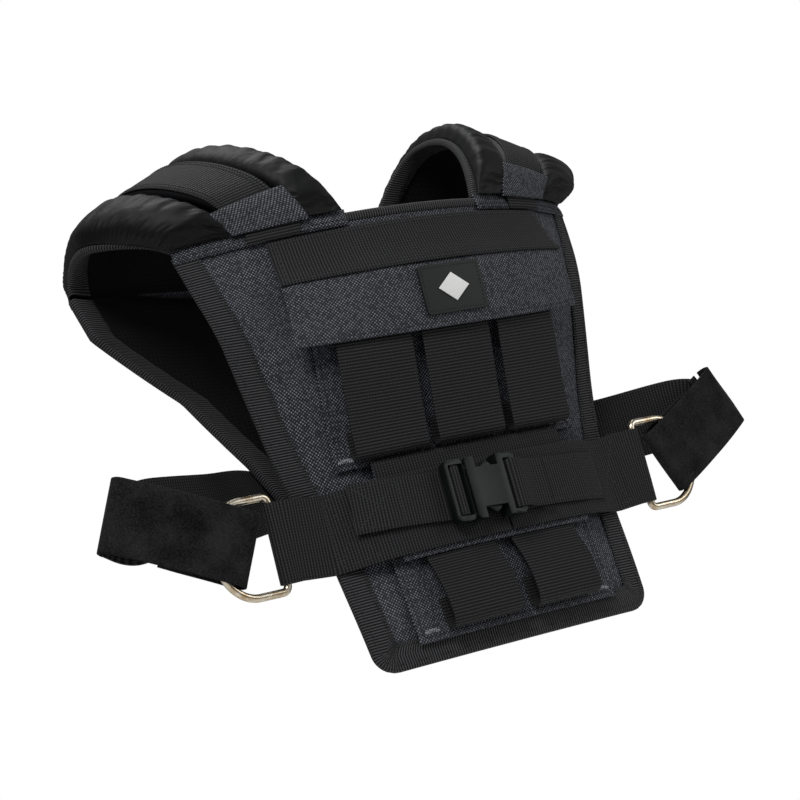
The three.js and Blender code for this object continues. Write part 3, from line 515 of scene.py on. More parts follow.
def shoulder(side, t, v, h):
    """Point h mm off the pad's upper face. Near the seams the normal turns to the panels' own."""
    t, v, h = np.broadcast_arrays(*(np.asarray(x, float) for x in (t, v, h)))
    at = lambda tt, vv: shoulder_line(side, np.clip(tt, 0, 1), vv)
    run = at(t + 0.01, v) - at(t - 0.01, v)
    over = at(t, v + 0.01) - at(t, v - 0.01)
    normal = unit(np.cross(run, over) * -side)
    for panel, wide, near in ((front, front_chest, 1 - ease(t, 0, 0.2)),
                              (back, back_blade, ease(t, 0.8, 1))):
        u = side * mix(neck_half, wide, v)
        own = (panel.place(u, body_height, 1) - panel.place(u, body_height, 0)) * 1000
        normal = mix(normal, own, near[..., None])
    return at(t, v) + unit(normal) * h[..., None] / 1000


def strip(name, body, material_slot, material, place, left, right, stops, thick, stands_for=(), dense=4.0,
          lift=None):
    """A flat sewn piece. place(a, b, n) gives the point at a across, b along and n off its middle
    layer. Its section is a flat loop with round rims, carried through the stops and pinched at both
    ends; lift(a, b) adds unevenness to both faces."""
    stops, r = np.asarray(stops, float), thick / 2
    count = max(3, int(abs(np.max(right) - np.min(left)) / dense))
    flat = np.linspace(0, 1, count)
    rim = np.radians([60, 0, -60])
    share = np.concatenate([flat, np.ones(3), flat[::-1], np.zeros(3)])
    out = np.concatenate([0 * flat, np.cos(rim), 0 * flat, -np.cos(rim)])
    rise = np.concatenate([0 * flat + 1, np.sin(rim), 0 * flat - 1, -np.sin(rim)])
    step = (stops[1] - stops[0]) * 0.12, (stops[-1] - stops[-2]) * 0.12
    b = np.concatenate([[stops[0]], [stops[0] + step[0]], stops[1:-1], [stops[-1] - step[1]], [stops[-1]]])
    fat = np.ones(len(b))
    fat[[0, -1]] = 0.35
    low = np.broadcast_to(left, b.shape) if np.ndim(left) == 0 else np.interp(b, stops, left)
    high = np.broadcast_to(right, b.shape) if np.ndim(right) == 0 else np.interp(b, stops, right)
    a = mix(low[:, None] + r, high[:, None] - r, share[None]) + r * out[None]
    n = r * rise[None] * fat[:, None]
    along_b = np.broadcast_to(b[:, None], a.shape)
    if lift is not None:
        n = n + lift(a, along_b)
    grid = place(a, along_b, n)
    run = lengths(grid[:, count // 2])
    a_uv = np.concatenate([a, a[:, :1]], 1) / 1000
    uv = np.stack([a_uv, np.broadcast_to(run[:, None], a_uv.shape)], -1)
    mesh = surface(name, grid, uv, True, True)
    return piece(name, mesh, body, material_slot, material, stands_for=stands_for)


def make_roll(first, last, height, seed):
    """A padded roll of the left pad: a closed arch, blown up as cloth, then gathered along both
    seams. The gathers are waves of uneven pitch along t that die away from the seams."""
    t = np.linspace(0.004, 0.996, 180)[:, None]
    share = np.concatenate([np.linspace(0, 1, 26), np.linspace(1, 0, 12)])[None]
    above = np.arange(38)[None] < 26
    v = mix(first, last, share)
    bow = np.sqrt(np.maximum(0, 1 - (2 * share - 1) ** 4))
    ends = ease(t, 0, 0.16) * (1 - ease(t, 0.86, 1))
    chance = np.random.default_rng(seed)
    phase = np.interp(t, np.linspace(0, 1, 60), np.cumsum(chance.uniform(0.5, 1.5, 60)) * 5.6)
    seam = np.minimum(v - first, last - v) * pad_wide
    near_seam = np.exp(-seam / 8) * (1 - np.exp(-seam / 1.5))
    gather = 0.6 * np.sin(phase + np.where(share < 0.5, 0, 2.1)) * near_seam
    fold = 0.7 * np.sin(phase * 0.37 + v * 11) * np.exp(-((share - 0.3) * 2.4) ** 2)
    arch = 2.2 + (height - 4.2) * bow * mix(0.2, 1, ends) + (gather + fold) * ends
    grid = shoulder(-1, t, v, np.where(above, arch, 1.2))
    spot = np.stack(np.broadcast_arrays(v * pad_wide / 1000, t * pad_long / 1000), -1)
    weave = np.concatenate([spot, spot[:, :1]], 1)
    return swell(surface("roll", grid, weave, True, True), 4, 0.0024)


def mirrored(mesh):
    """The same mesh on the other side of the middle plane, with its faces still pointing out."""
    twin = mesh.copy()
    spots = points_of(mesh)
    spots[:, 0] *= -1
    twin.vertices.foreach_set("co", spots.ravel())
    twin.flip_normals()
    return twin


for word, first, last, height, seed in (("neck_roll", 0.005, 0.26, 17, 5),
                                        ("outer_roll", 0.60, 0.995, 19, 8)):
    roll = make_roll(first, last, height, seed)
    for hand, mesh in (("left", roll), ("right", mirrored(roll))):
        node = f"shoulder_{hand}_{word}"
        made = piece(node + "_satin", mesh, "vest", "satin_nylon", satin, stands_for=[node])
        finer = made.modifiers.new("finer", "SUBSURF")
        finer.levels = finer.render_levels = 1

webbing, start = finish("ribbed_webbing", Sheen_Weight=0.02, Sheen_Roughness=0.45, Specular_IOR_Level=0.25)
across, along = flat_pattern(start)
waver = noise(start, 120, 2)
weft_rib = (along + waver * 0.0004).wave(0.0024)
warp_end = (across + waver * 0.0004).wave(0.0021)
# Painted highlight: the tops of the weft ribs are painted much lighter than the near-black webbing, and fine
# noise breaks the highlight up.
rib_top_highlight = weft_rib.step(0.25, 0.9) * (warp_end * 0.45 + 0.55)
wisp = noise(start, 800, 2)
wear(webbing, (rib_top_highlight * (wisp * 0.6 + 0.6)).blend((0.0010, 0.0010, 0.0012), (0.0300, 0.0305, 0.0335)),
     0.78 - rib_top_highlight * 0.18, weft_rib * 0.65 + warp_end * 0.35, 0.00045)

ends_of = lambda t: ease(t, 0, 0.2) * (1 - ease(t, 0.82, 1))
channel_top = lambda t: 0.6 + mix(2.5, 12, ends_of(t))
arc = np.linspace(0, 1, 64)
for hand, side in (("left", -1), ("right", 1)):
    pad = f"shoulder_{hand}_"
    on_pad = lambda h0: (lambda a, b, n: shoulder(side, b, a / pad_wide, h0(b) + n))
    base = strip(pad + "base_pad", "vest", "oxford", lining, on_pad(lambda t: -2.2), 0, pad_wide, arc, 3.6,
                 [pad + "base"], 8, lambda a, b: ripple(a, b * pad_long, 4, 60, 0.25))
    tall, cross = arc[:, None], np.linspace(*channel_edges, 12)[None] / pad_wide
    top = shoulder(side, tall, cross, channel_top(tall) + 0.2)
    grid = np.concatenate([top, shoulder(side, tall, cross[:, ::-1], 0.4 + 0 * tall)], 1)
    channel = surface(pad + "channel_pad", grid, np.zeros((64, 25, 2)), True, True)
    channel = piece(pad + "channel_pad", channel, "vest", "satin_nylon", satin, stands_for=[pad + "channel"])
    strip(pad + "oxford_end", "vest", "oxford", oxford, on_pad(lambda t: channel_top(t) + 3.1), 30, 92,
          np.linspace(0, 0.13, 8), 1.2, (), 4)
    strip(pad + "webbing_band", "vest", "webbing", webbing, on_pad(lambda t: channel_top(t) + 1.5),
          *channel_edges, arc, 1.8, [pad + "webbing"], 3)
    for edge, outward in ((0, -1), (pad_wide, 1)):
        word = "neck" if edge == 0 else "arm"
        ring = [(14, 0.5), (6, 0.9), (0, 0.9), (-1.2, -0.4), (-1.6, -2.2), (-1.2, -4.2), (0, -5.3), (8, -5.3),
                (14, -5.2), (14, -4.2), (0, -4.3), (-0.4, -2.2), (0, -0.2), (14, -0.2)]
        grid = np.stack([shoulder(side, arc, (edge - outward * inset) / pad_wide, height + 0 * arc)
                         for inset, height in ring], 1)
        girth = lengths(np.array([[*spot, 0] for spot in ring + ring[:1]])) / 1000
        uv = np.stack(np.broadcast_arrays(girth[None], lengths(grid[:, 4])[:, None]), -1)
        edge_tape = surface(pad + word + "_tape", grid, uv, True, True)
        piece(pad + word + "_tape", edge_tape, "vest", "binding_tape", tape)
    row = lambda v: np.stack([0 * arc + v, arc * pad_long], -1)
    stitches(pad + "stitching", "vest", lambda a, b, h: shoulder(side, b / pad_long, a / pad_wide,
             channel_top(b / pad_long) + 2.5 + h), [row(v) for v in (41, 44, 76.5, 79.5)])

for word, panel, wide in (("front", front, front_chest), ("back", back, back_blade)):
    for hand, side in (("left", -1), ("right", 1)):
        across_top = lambda a, b, n: panel.place(side * a, b, -1.1 - 1.4 * ease(b, 336, 342) + n)
        strip(f"{word}_{hand}_seam_cover", "vest", "oxford", oxford, across_top, 61, wide - 1,
              np.linspace(331, 344, 6), 1.5, (), 5)
        strip(f"{word}_{hand}_webbing_end", "vest", "webbing", webbing,
              lambda a, b, n: panel.place(side * a, b, 0.8 - 0.6 * ease(b, 334, 345) + n),
              mix(neck_half, wide - 2, 0.272), mix(neck_half, wide - 2, 0.588),
              np.linspace(331, 346, 6), 1.6, (), 5)
        stitches(f"{word}_{hand}_seam_stitching", "vest", lambda a, b, h: panel.place(side * a, b, -0.1 + h),
                 [[(64, s), (wide - 4, s)] for s in (333, 336)])
    strip(word + "_neck_tape", "vest", "binding_tape", tape,
          lambda a, b, n: panel.place(b, 333 + a + 0 * n, -5 + n), 0, 9, np.linspace(-63, 63, 30), 6.2, (), 2)


# ---- Upper pocket, weight loops and flap ----
# An oxford base is sewn to the front panel. Three loops of 60 mm webbing are sewn to it at the
# top, rolled under at the bottom and sewn again. A flap with a webbing strip hangs over them.

def on_front(heights):
    """place() for a strip that lies on the front panel: a is u, b is s, heights(a, b) its height."""
    return lambda a, b, n: front.place(a, b, heights(a, b) + n)


def turned(place):
    """The same strip with its width along s and its length along u."""
    return lambda a, b, n: place(b, a, n)


def hem_lift(left, right, low, high, seed, puff=0.5):
    """Cloth that rises between its stitched edges, with soft unevenness."""

    def lift(a, b):
        inside = np.minimum(np.minimum(a - left, right - a), np.minimum(b - low, high - b))
        dent = 0.25 * np.exp(-((inside - 4) / 1.2) ** 2)
        return ease(inside, 0, 9) * (puff + ripple(a, b, seed, 45, 0.35)) - dent

    return lift


half, foot, top = 112, 150, 305
cloth = strip("upper_pocket_cloth", "vest", "oxford", oxford, on_front(lambda a, b: 1.9), -half, half,
              np.arange(foot, top + 0.5, 2.5), 2.2, ["upper_pocket"], 2.5,
              hem_lift(-half, half, foot, top, 11, 0.1))
columns = [-108, -105, -37, -31.5, 31.5, 37, 105, 108]
stitches("upper_pocket_stitching", "vest", lambda a, b, h: front.place(a, b, 3.1 + h),
         [[(u, 154), (u, 262)] for u in columns] + [[(-108, 154), (108, 154)], [(-108, 157), (108, 157)]])


def make_loop(name, middle, bottom, top, depth, swelling):
    """A loop's side view is a walk in s and h: down the front layer, round the roll and up behind.
    Its webbing is carried along that walk, following the panel's curve across."""
    seat = 4.7
    bend = (depth - seat) / 2
    foot = bottom + bend
    down = np.linspace(0, 1, 34)[:-1]
    rise = read(swelling, np.linspace(0, 1, 34))
    rise = np.convolve(np.pad(rise, 2, mode="edge"), np.ones(5) / 5, "valid")[:-1]
    around = np.radians(np.arange(0, 181, 12))
    s = np.concatenate([mix(top, foot, down), foot - bend * np.sin(around), [foot + 5, foot + 10, foot + 16]])
    h = np.concatenate([mix(seat, depth, rise), seat + bend + bend * np.cos(around), [seat] * 3])
    index = np.arange(len(s), dtype=float)
    ds, dh = np.gradient(s), np.gradient(h)
    size = np.hypot(ds, dh)

    def place(a, b, n):
        at = lambda row: np.interp(b, index, row)
        slack = 0.35 * np.sin(a / 9 + middle) * ease(b, 3, 14)
        return front.place(middle + a, at(s) + at(dh / size) * n, at(h) - at(ds / size) * n + slack)

    strip(name + "_webbing", "vest", "webbing", webbing, place, -30, 30, index, 1.8, [name], 3)
    rows = [[(-26, r), (26, r)] for r in (1.2, 2.6)]
    rows += [[(c, 1.2), (c, 6)] for c in (-27.5, 27.5)]
    stitches(name + "_stitching", "vest", lambda a, b, n: place(a, b, 1.0 + n), rows, pitch=3.4)


for i in range(3):
    make_loop(f"upper_loop_{i + 1}", (i - 1) * 68, 156, 268, 15,
              [(0, 0), (0.12, 0.6), (0.28, 0.95), (0.5, 1), (1, 1)])


def tack(a, b, length, turned_by=0.0, width=4.0):
    """Corners of a bar tack: a tight zigzag about its middle."""
    way = np.arange(0, length + 0.01, 0.75) - length / 2
    zig = np.where(np.arange(len(way)) % 2, width, -width) / 2
    cos, sin = np.cos(turned_by), np.sin(turned_by)
    return np.stack([a + way * cos - zig * sin, b + way * sin + zig * cos], -1)


stitches("upper_bar_tacks", "vest", lambda a, b, h: front.place(a, b, 3.3 + h),
         [tack(-103, 157, 12), tack(-34, 170, 12, np.pi / 2), tack(34, 170, 12, np.pi / 2),
          tack(103, 157, 12)], pale_thread, 0.42, 2.6)

flap_half, flap_foot, flap_top = 128, 243, 329
flap_fall = [(0, -2.2), (0.27, 4.4), (0.45, 12.2), (1, 17.6)]


def flap_height(s):
    """How far the flap's inner face stands off the panel, read a little softened."""
    fallen = (flap_top - s) / (flap_top - flap_foot)
    return sum(read(flap_fall, fallen + shift) for shift in (-0.06, -0.03, 0, 0.03, 0.06)) / 5


hang = lambda a, b: flap_height(b) + 0.9 + 1.1 * np.sin(a / 31 + 1) * ease(-b, -270, -243)
cloth = strip("upper_flap_cloth", "upper_flap", "oxford", oxford, on_front(hang), -flap_half, flap_half,
              np.arange(flap_foot, flap_top + 0.5, 2), 1.8, ["upper_flap"], 2.5,
              hem_lift(-flap_half, flap_half, flap_foot, flap_top, 21, 0.5))
strip("upper_flap_webbing", "upper_flap", "webbing", webbing,
      turned(on_front(lambda a, b: flap_height(b) + 3.4)), flap_top - 38, flap_top,
      np.arange(-flap_half, flap_half + 0.5, 4), 1.7, ["upper_flap_strip"], 3)
over_strip = lambda a, b, h: front.place(a, b, flap_height(b) + 4.25 + h)
stitches("upper_flap_strip_stitching", "upper_flap", over_strip,
         [[(-124, s), (124, s)] for s in (293.5, 326)] +
         [[(u, 294), (u, 326)] for u in (-125, -122, 122, 125)])
over_flap = lambda a, b, h: front.place(a, b, hang(a, b) + 0.75 + h)
stitches("upper_flap_stitching", "upper_flap", over_flap,
         [[(-124, 247), (124, 247)], [(-124, 251), (124, 251)]] +
         [[(u, 247), (u, 290)] for u in (-124.5, -120.5, 120.5, 124.5)])


# ---- Rubber patch ----
# A moulded rubber label with a plain raised diamond, sewn round its rim to the flap.

rubber, start = finish("patch_rubber", Specular_IOR_Level=0.4)
pebble = noise(start, 1800, 3)
cloudy = noise(start, 60, 3)
wear(rubber, cloudy.blend((0.0042, 0.0054, 0.0052), (0.0070, 0.0086, 0.0083)), 0.5 + pebble * 0.2,
     pebble, 0.00012)
pale_rubber, start = finish("pale_rubber", Specular_IOR_Level=0.4)
cloudy = noise(start, 300, 3)
wear(pale_rubber, cloudy.blend((0.72, 0.72, 0.71), (0.80, 0.80, 0.79)), 0.5 + cloudy * 0.15, cloudy, 0.0001)


def rounded(name, body, material_slot, material, node, radius, parts=3):
    """A copy of a CAD node with its triangles joined into flat faces and its edges rounded."""
    shape = bmesh.new()
    shape.from_mesh(bpy.data.objects[node].data)
    bmesh.ops.remove_doubles(shape, verts=shape.verts, dist=1e-5)
    bmesh.ops.dissolve_limit(shape, angle_limit=0.02, verts=shape.verts, edges=shape.edges)
    mesh = bpy.data.meshes.new(name)
    shape.to_mesh(mesh)
    shape.free()
    mesh.materials.clear()
    mesh.polygons.foreach_set("use_smooth", [True] * len(mesh.polygons))
    made = piece(name, mesh, body, material_slot, material, stands_for=[node])
    edges = made.modifiers.new("edges", "BEVEL")
    edges.width, edges.segments, edges.limit_method, edges.angle_limit = radius, parts, "ANGLE", 0.6
    edges.harden_normals = True
    return made


rounded("label_patch_rubber", "upper_flap", "patch_rubber", rubber, "label_patch", 0.0005)
rounded("label_mark_diamond", "upper_flap", "mark_white", pale_rubber, "label_mark", 0.0002)
low_corner, high_corner = (np.array(c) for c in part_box("label_patch"))
patch_middle = (low_corner + high_corner) / 2 * [1, 0, 1] + [0, -0.12996, 0]


def on_patch(a, b, h):
    """a and b from the patch's middle, h off its front face."""
    a, b, h = np.broadcast_arrays(a, b, h)
    return patch_middle + np.stack([a, -h - 0.0073 * b, b], -1) / 1000


stitches("label_patch_stitching", "upper_flap", on_patch,
         [[(-25.5, -16.5), (25.5, -16.5), (25.5, 16.5), (-25.5, 16.5), (-25.5, -16.5)]], pitch=3.0, size=0.36)


# ---- Lower pocket, weight loops and flap ----
# The same make below the belt: two deeper loops, and a short flap that the belt holds down.

half, foot, top = 92, 13, 142
cloth = strip("lower_pocket_cloth", "vest", "oxford", oxford, on_front(lambda a, b: 1.9), -half, half,
              np.arange(foot, top + 0.5, 2.5), 2.2, ["lower_pocket"], 2.5,
              hem_lift(-half, half, foot, top, 31, 0.3))
stitches("lower_pocket_stitching", "vest", lambda a, b, h: front.place(a, b, 3.2 + h),
         [[(u, 18), (u, 138)] for u in (-88, -85, -74, -71, 85, 88)] +
         [[(-88, 17), (88, 17)], [(-2, 20), (-2, 90)], [(2, 20), (2, 90)]])
for i in range(2):
    make_loop(f"lower_loop_{i + 1}", (i - 0.5) * 75, 19, 92, 19,
              [(0, 0), (0.13, 0.1), (0.27, 0.2), (0.48, 0.62), (0.7, 0.93), (0.85, 1), (1, 1)])
stitches("lower_bar_tacks", "vest", lambda a, b, h: front.place(a, b, 3.4 + h),
         [tack(-80, 21, 12), tack(0, 28, 10, np.pi / 2), tack(80, 21, 12)], pale_thread, 0.42, 2.6)

half, foot, top = 86, 74, 152
low_fall = lambda s: read([(0, 5), (0.45, 7.4), (1, 9.4)], (top - s) / (top - foot))
low_hang = lambda a, b: low_fall(b) + 0.9
cloth = strip("lower_flap_cloth", "vest", "oxford", oxford, on_front(low_hang), -half, half,
              np.arange(foot, top + 0.5, 2), 1.8, ["lower_flap"], 2.5,
              hem_lift(-half, half, foot, top, 41, 0.2))
strip("lower_flap_webbing", "vest", "webbing", webbing, turned(on_front(lambda a, b: low_fall(b) + 3.35)),
      top - 38, top, np.arange(-half, half + 0.5, 4), 1.7, ["lower_flap_strip"], 3)
stitches("lower_flap_stitching", "vest", lambda a, b, h: front.place(a, b, low_fall(b) + 4.2 + h),
         [[(-83, 149), (83, 149)], [(-83, 116.5), (83, 116.5)]])


# ---- Belt ----
# Two halves of 60 mm webbing lie over the lower flap. Each wraps the straight bar of its D-ring,
# is folded back behind itself and sewn with a crossed box.

def ribbon(name, body, material_slot, material, path, across, width, thick, stands_for=(), face=1, sway=0.25):
    """Webbing whose middle layer follows a path of points in mm. across is the direction of its
    width there. Gives place(a, back, h): a off the middle, back from the path's end, h off a face."""
    path = np.asarray(path, float)
    across = np.broadcast_to(np.asarray(across, float), path.shape)
    run = lengths(path)
    stops = np.linspace(0, run[-1], int(run[-1] / 1.5) + 1)
    both = np.stack([np.interp(stops, run, row) for row in np.concatenate([path, across], 1).T], -1)
    for _ in range(3):
        both[1:-1] = (both[:-2] + 2 * both[1:-1] + both[2:]) / 4
    middle = both[:, :3]
    ahead = unit(np.gradient(middle, axis=0))
    wide = unit(both[:, 3:] - ahead * np.sum(both[:, 3:] * ahead, 1, keepdims=True))
    out = np.cross(ahead, wide) * face

    def place(a, b, n):
        a, b, n = np.broadcast_arrays(a, b, n)
        at = lambda rows: np.stack([np.interp(b, stops, row) for row in rows.T], -1)
        return (at(middle) + at(wide) * a[..., None] + at(out) * n[..., None]) / 1000

    strip(name, body, material_slot, material, place, -width / 2, width / 2, stops, thick, stands_for, 3,
          lambda a, b: ripple(a, b, len(name), 55, sway) * ease(np.minimum(b, stops[-1] - b), 0, 20))
    return lambda a, back_by, h: place(a, stops[-1] - back_by, thick / 2 + h - 0.15)


def crossed_box(low, high, half):
    """Corners of a box with both diagonals, from low to high along the webbing."""
    return [[(-half, low), (half, low), (half, high), (-half, high), (-half, low)],
            [(-half, low), (half, high)], [(half, low), (-half, high)]]


belt_edge, belt_low = 133, 3.6      # where each half leaves the panel, and its height there
belt_lift = lambda u: read([(89, 14.2), (125, belt_low), (203, belt_low)], np.abs(u))
belt_spine = unit(front.place(0, 132, 0) - front.place(0, 84, 0))
belt_stops = [belt_edge, 125, 113, 101, 89, 73.25, 57.5, 41.75, 26]
bar_x, bar_y, bar_z = 172, 30, 108
for hand, side, inner in (("left", -1, 7.4), ("right", 1, 8.6)):
    wrap = 4.8
    edge = front.place(side * belt_edge, bar_z, belt_low) * 1000 - origin
    front_y = lambda x: mix(edge[1], bar_y - wrap, (x - abs(edge[0])) / (bar_x - abs(edge[0])))
    rear = [(side * 143, front_y(143) + 3.2, bar_z), (side * 155, front_y(155) + 4.0, bar_z),
            (side * 164, 33.4, bar_z)]
    angle = np.radians([15, 50, 90, 130, 165])
    turned_round = np.stack([side * (bar_x + wrap * np.sin(angle)), bar_y + wrap * np.cos(angle),
                             bar_z + 0 * angle], -1)
    free = np.concatenate([rear, turned_round, [(side * 164, front_y(164), bar_z)]]) + origin
    across_x = np.array([*[side * u for u in belt_stops], inner], float)
    lying = front.place(across_x, bar_z, belt_lift(across_x)) * 1000
    leaning = np.clip((np.arange(len(free) + len(lying)) - len(free) + 1) / 2, 0, 1)[:, None]
    body = "belt_left" if side < 0 else "vest"
    on_belt = ribbon(f"belt_{hand}_webbing", body, "webbing", webbing,
                     np.concatenate([free, lying]), mix(np.array([0, 0, 1.0]), belt_spine, leaning), 60, 1.8,
                     [f"belt_{hand}"], -side)
    stitches(f"belt_{hand}_stitching", body, on_belt, crossed_box(112, 142, 25), pitch=3.2)


# ---- D-rings ----
# Welded wire rings, zinc plated and yellow: a straight bar, level sides and a half-round bow.
# The pale yellow is the plating's own; the dark brown-gold swirls in it are painted warm reflections.

plating_and_reflections, start = finish("yellow_zinc_and_reflections", Metallic=1.0, Coat_Weight=0.15, Coat_Roughness=0.2)
# Painted reflection: this swirl mixes dark brown-gold patches into the pale plating colour.
reflection_swirl = noise(start, 120, 3)
fleck = noise(start, 900, 3)
wear(plating_and_reflections, (reflection_swirl * 0.7 + fleck * 0.3).step(0.3, 0.7).blend((0.40, 0.285, 0.150), (0.80, 0.74, 0.62)),
     0.16 + reflection_swirl * 0.14 + fleck * 0.08, fleck, 0.00006)


def make_ring(hand, side):
    """A round wire carried along the ring's outline, with 20 sides."""
    half, corner_by = 35.0, 5.0
    shoulder_x = 52 - 0.8 * half
    quarter = np.radians(np.arange(0, 91, 15))
    bow = np.radians(np.linspace(90, -90, 37))
    x = np.concatenate([[0, 0, 0], corner_by - corner_by * np.cos(quarter),
                        shoulder_x + (52 - shoulder_x) * np.cos(bow),
                        corner_by - corner_by * np.sin(quarter), [0, 0]])
    z = np.concatenate([[-15, 0, 15], half - corner_by + corner_by * np.sin(quarter), half * np.sin(bow),
                        -half + corner_by - corner_by * np.cos(quarter), [-28, -22]])
    line = np.stack([x, 0 * x, z], -1)
    ahead = unit(np.roll(line, -1, 0) - np.roll(line, 1, 0))
    out = np.cross(ahead, [0, 1, 0])
    angle = np.linspace(0, 2 * np.pi, 21)[:20]
    angle = angle[None, :, None]
    grid = line[:, None] + 3 * (out[:, None] * np.cos(angle) + np.array([0, 1, 0]) * np.sin(angle))
    grid = np.concatenate([grid, grid[:1]]) * [side, 1, 1] + [side * bar_x, bar_y, bar_z] + origin
    mesh = surface("ring", grid / 1000, np.zeros((len(grid), 21, 2)), True)
    made = piece(f"d_ring_{hand}_wire", mesh, f"ring_{hand}", "ring_brass", plating_and_reflections,
                 stands_for=[f"d_ring_{hand}"])
    merge = made.modifiers.new("seam", "WELD")
    merge.merge_threshold = 0.00002


make_ring("left", -1)
make_ring("right", 1)


# ---- Side straps ----
# Webbing faced with black velour is threaded through each ring and folded. A plain strap runs
# from the fold to a band sewn across the back panel.

velour, start = finish("black_velour", Sheen_Weight=0.07, Sheen_Roughness=0.35, Specular_IOR_Level=0.08)
pile = noise(start, 750, 4)
brushed = noise(start, 35, 3)
nap = (brushed * 0.5 + pile * 0.5).step(0.3, 0.7)
wear(velour, nap.blend((0.0020, 0.0020, 0.0022), (0.0240, 0.0240, 0.0250)),
     0.9 + pile * 0.08, pile * 0.7 + brushed * 0.3, 0.0006)

on_back = lambda height: (lambda a, b, n: back.place(a, b, height + n))
strip("back_band_webbing", "vest", "webbing", webbing, turned(on_back(1.5)), 116, 176,
      np.arange(-122, 123, 4.0), 1.8, ["back_band"], 3)
stitches("back_band_stitching", "vest", lambda a, b, h: back.place(a, b, 2.4 + h),
         [[(-119, s), (119, s)] for s in (119, 173)] + [[(u, 119), (u, 173)] for u in (-119, 119)])


def curve_through(points, count=12):
    """Catmull-Rom curve through the points, with count steps between neighbours."""
    p = np.concatenate([[2 * points[0] - points[1]], points, [2 * points[-1] - points[-2]]])
    a, b, c, d = p[:-3], p[1:-2], p[2:-1], p[3:]
    q = (np.arange(count) / count)[:, None, None]
    bend = 2 * b + (c - a) * q + (2 * a - 5 * b + 4 * c - d) * q ** 2 + (3 * b - a - 3 * c + d) * q ** 3
    return np.concatenate([(bend / 2).transpose(1, 0, 2).reshape(-1, 3), points[-1:]])


for hand, side in (("left", -1), ("right", 1)):
    climb = np.radians(26)
    outward = np.array([side * np.cos(climb), 0, np.sin(climb)])
    over = np.array([-side * np.sin(climb), 0, np.cos(climb)])
    root = np.array([side * 198, bar_y, bar_z]) + origin
    at = lambda reach, y: root + np.multiply.outer(reach, outward) + np.multiply.outer(y, [0, 1, 0])
    tail, run = np.linspace(62, 0, 5), np.linspace(0, 98, 9)
    bend, fold = np.radians([45, 90, 135]), np.radians([30, 60, 90, 120, 150, 180])
    path = np.concatenate([at(tail, 5 + 0.02 * tail), at(-5 * np.sin(bend), 5 * np.cos(bend)),
                           at(run, -5 + 13 * (run / 98) ** 2),
                           at(98 + 6 * np.sin(fold), 14 - 6 * np.cos(fold))])
    ribbon(f"strap_end_{hand}_velour", f"ring_{hand}", "velour", velour, path, over, 56, 2.0,
           [f"strap_end_{hand}"], side, 0.5)
    bridge = at(54, 28)
    bridge[2] = 147 + origin[2]
    posts = np.array([at(95.6, 20), at(80, 22), bridge, np.array([side * 186, 80, 145]) + origin,
                      *[back.place(side * u, 146, 3.9) * 1000 for u in (148, 130, 108)]])
    path = curve_through(posts)
    way = np.linspace(0, 1, len(path))[:, None]
    lean = unit(back.place(0, 166, 0) - back.place(0, 126, 0))
    level = mix(mix(over, np.array([0, 0, 1.0]), ease(way, 0, 0.4)), lean, ease(way, 0.4, 0.85))
    on_strap = ribbon(f"side_strap_{hand}_webbing", None, "webbing", webbing, path, level, 56, 1.8,
                      [f"side_strap_{hand}"], side, 0.4)
    side_strap = bpy.data.objects[f"side_strap_{hand}_webbing"]
    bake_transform(side_strap)
    stitches(f"side_strap_{hand}_stitching", "vest", on_strap, crossed_box(2, 20, 24), pitch=3.2)


# ---- Buckle and its webbing ----
# A side-release buckle of satin plastic. 38 mm webbing is sewn along each half of the belt with a
# long crossed box and led through the buckle's slots.

plastic, start = finish("satin_plastic", Specular_IOR_Level=0.2, Coat_Weight=0.04, Coat_Roughness=0.4)
cloud = noise(start, 40, 3)
spark = noise(start, 1600, 3)
wear(plastic, cloud.step(0.3, 0.7).blend((0.0036, 0.0050, 0.0048), (0.0060, 0.0082, 0.0078)),
     0.30 + spark * 0.14, spark, 0.00008)
for node, body in (("buckle_male", "belt_left"), ("buckle_female", "vest"), ("prong_upper", "prong_upper"),
                   ("prong_lower", "prong_lower")):
    rounded(node + "_plastic", body, "buckle_plastic", plastic, node, 0.0007)

buckle_at = np.array([-12.0, -118.65, -266.25])
buckle_x, buckle_y = np.array([0.998369, -0.013238, -0.055527]), np.array([0, 0.993066, -0.11756])
buckle_z = np.array([0.057475, 0.11699, 0.991469])
threads = {"left": [(-18.2, 2), (-18.4, 0), (-19, -2.4), (-21, -3.7), (-22.5, -3.9), (-24, -3.7),
                    (-26.05, -2.4), (-26.65, 0), (-27.15, 2.6), (-29.15, 5.6), (-32.75, 6.6)],
           "right": [(62, 4.6), (48, 3.8), (40, 0), (35, -3.8), (30.5, -4.6), (25.6, -4.2), (24, -1.8),
                     (24, 1.8), (25.6, 4.2), (30.5, 5), (36, 6.4)]}
for hand, side, sewn in (("left", -1, [73.25, 89, 101, 113]),
                         ("right", 1, [41.75, 57.5, 73.25, 89, 101, 113])):
    thread = np.array(threads[hand])
    led = buckle_at + np.multiply.outer(thread[:, 0], buckle_x) + np.multiply.outer(thread[:, 1], buckle_y)
    u = side * np.array(sewn)
    lying = front.place(u, bar_z, belt_lift(u) + 2.8) * 1000
    lying[:, 2] = buckle_at[2] + buckle_x[2] * (u - buckle_at[0])
    body = "belt_left" if side < 0 else "vest"
    on_tab = ribbon(f"tab_{hand}_webbing", body, "webbing", webbing, np.concatenate([led, lying]),
                    buckle_z, 38, 1.4, [f"tab_{hand}"], side, 0.15)
    stitches(f"tab_{hand}_stitching", body, on_tab, crossed_box(3, 38 if side < 0 else 62, 15.5), pitch=3.2)


# ---- Studio stand ----
# A plain pale floor, three soft boxes and the camera. The background is white to the camera and
# dim as a light, so that the black cloth keeps its depth.

world = bpy.data.worlds.new("studio")
world.use_nodes = True
world.node_tree.nodes["Background"].inputs["Color"].default_value = (1, 1, 1, 1)
seen = Wire(world.node_tree).node("ShaderNodeLightPath")
soft = seen * 0.82 + 0.18
world.node_tree.links.new(soft.socket, world.node_tree.nodes["Background"].inputs["Strength"])
bpy.context.scene.world = world
bpy.context.scene.view_settings.view_transform = "Standard"

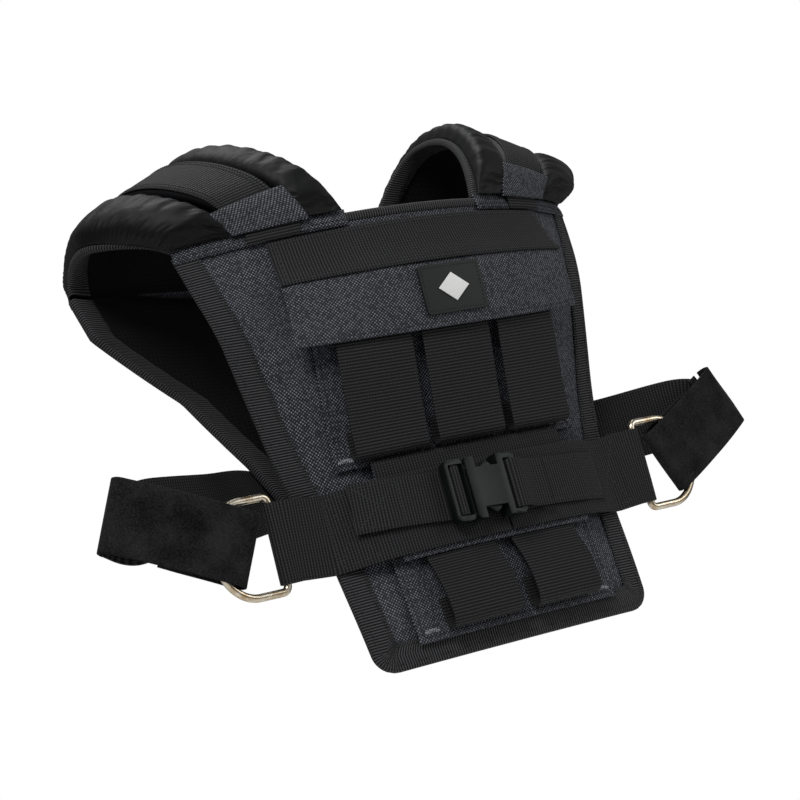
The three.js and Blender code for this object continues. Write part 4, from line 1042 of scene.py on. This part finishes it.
floor_mesh = bpy.data.meshes.new("floor")
reach, drop = 1.3, -0.9
corners = [(-reach, -reach, drop), (reach, -reach, drop), (reach, reach, drop), (-reach, reach, drop)]
floor_mesh.from_pydata(corners, [], [(0, 1, 2, 3)])
floor = bpy.data.objects.new("floor", floor_mesh)
bpy.context.scene.collection.objects.link(floor)
pale, start = finish("pale_floor", Roughness=0.9, Specular_IOR_Level=0.2)
mottle = noise(start, 2)
wear(pale, mottle.blend((0.90, 0.90, 0.90), (0.93, 0.93, 0.93)), None, mottle, 0.0001)
floor_mesh.materials.append(pale)
floor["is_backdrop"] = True


def lamp(name, spot, target, size, power):
    """A square soft box at spot, turned to the target."""
    light = bpy.data.lights.new(name, "AREA")
    light.size, light.energy = size, power
    made = bpy.data.objects.new(name, light)
    facing = (Vector(target) - Vector(spot)).to_track_quat("-Z", "Y").to_matrix().to_4x4()
    made.matrix_world = Matrix.Translation(spot) @ facing
    bpy.context.scene.collection.objects.link(made)


lamp("key_box", (-1.6, -1.8, 1.9), (0, -0.05, -0.15), 1.2, 64)
lamp("fill_box", (1.9, -2.0, 0.7), (0, -0.05, -0.2), 1.6, 18)
lamp("top_box", (0.2, 0.5, 2.2), (0, 0, -0.1), 1.2, 26)

turn, tilt, roll = np.radians([34.0, -6.4, -14.4])
toward = np.array([-np.sin(turn) * np.cos(tilt), -np.cos(turn) * np.cos(tilt), np.sin(tilt)])
right = np.array([np.cos(turn), -np.sin(turn), 0])
upward = np.cross(right, -toward)
right, upward = (np.cos(roll) * right + np.sin(roll) * upward, -np.sin(roll) * right + np.cos(roll) * upward)
aim = np.array([0, -50, -180]) - 14.9 * right - 3.9 * upward
spot = (aim + 1650 * toward) / 1000
camera = bpy.data.objects.new("camera", bpy.data.cameras.new("camera"))
camera.data.lens = 95.6
rows = [[*column, place] for *column, place in zip(right, upward, toward, spot)]
camera.matrix_world = Matrix(rows + [[0, 0, 0, 1]])
bpy.context.scene.collection.objects.link(camera)
bpy.context.scene.camera = camera

[[list(map(float, corner_point)) for corner_point in box] for box in (cad_box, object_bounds())]
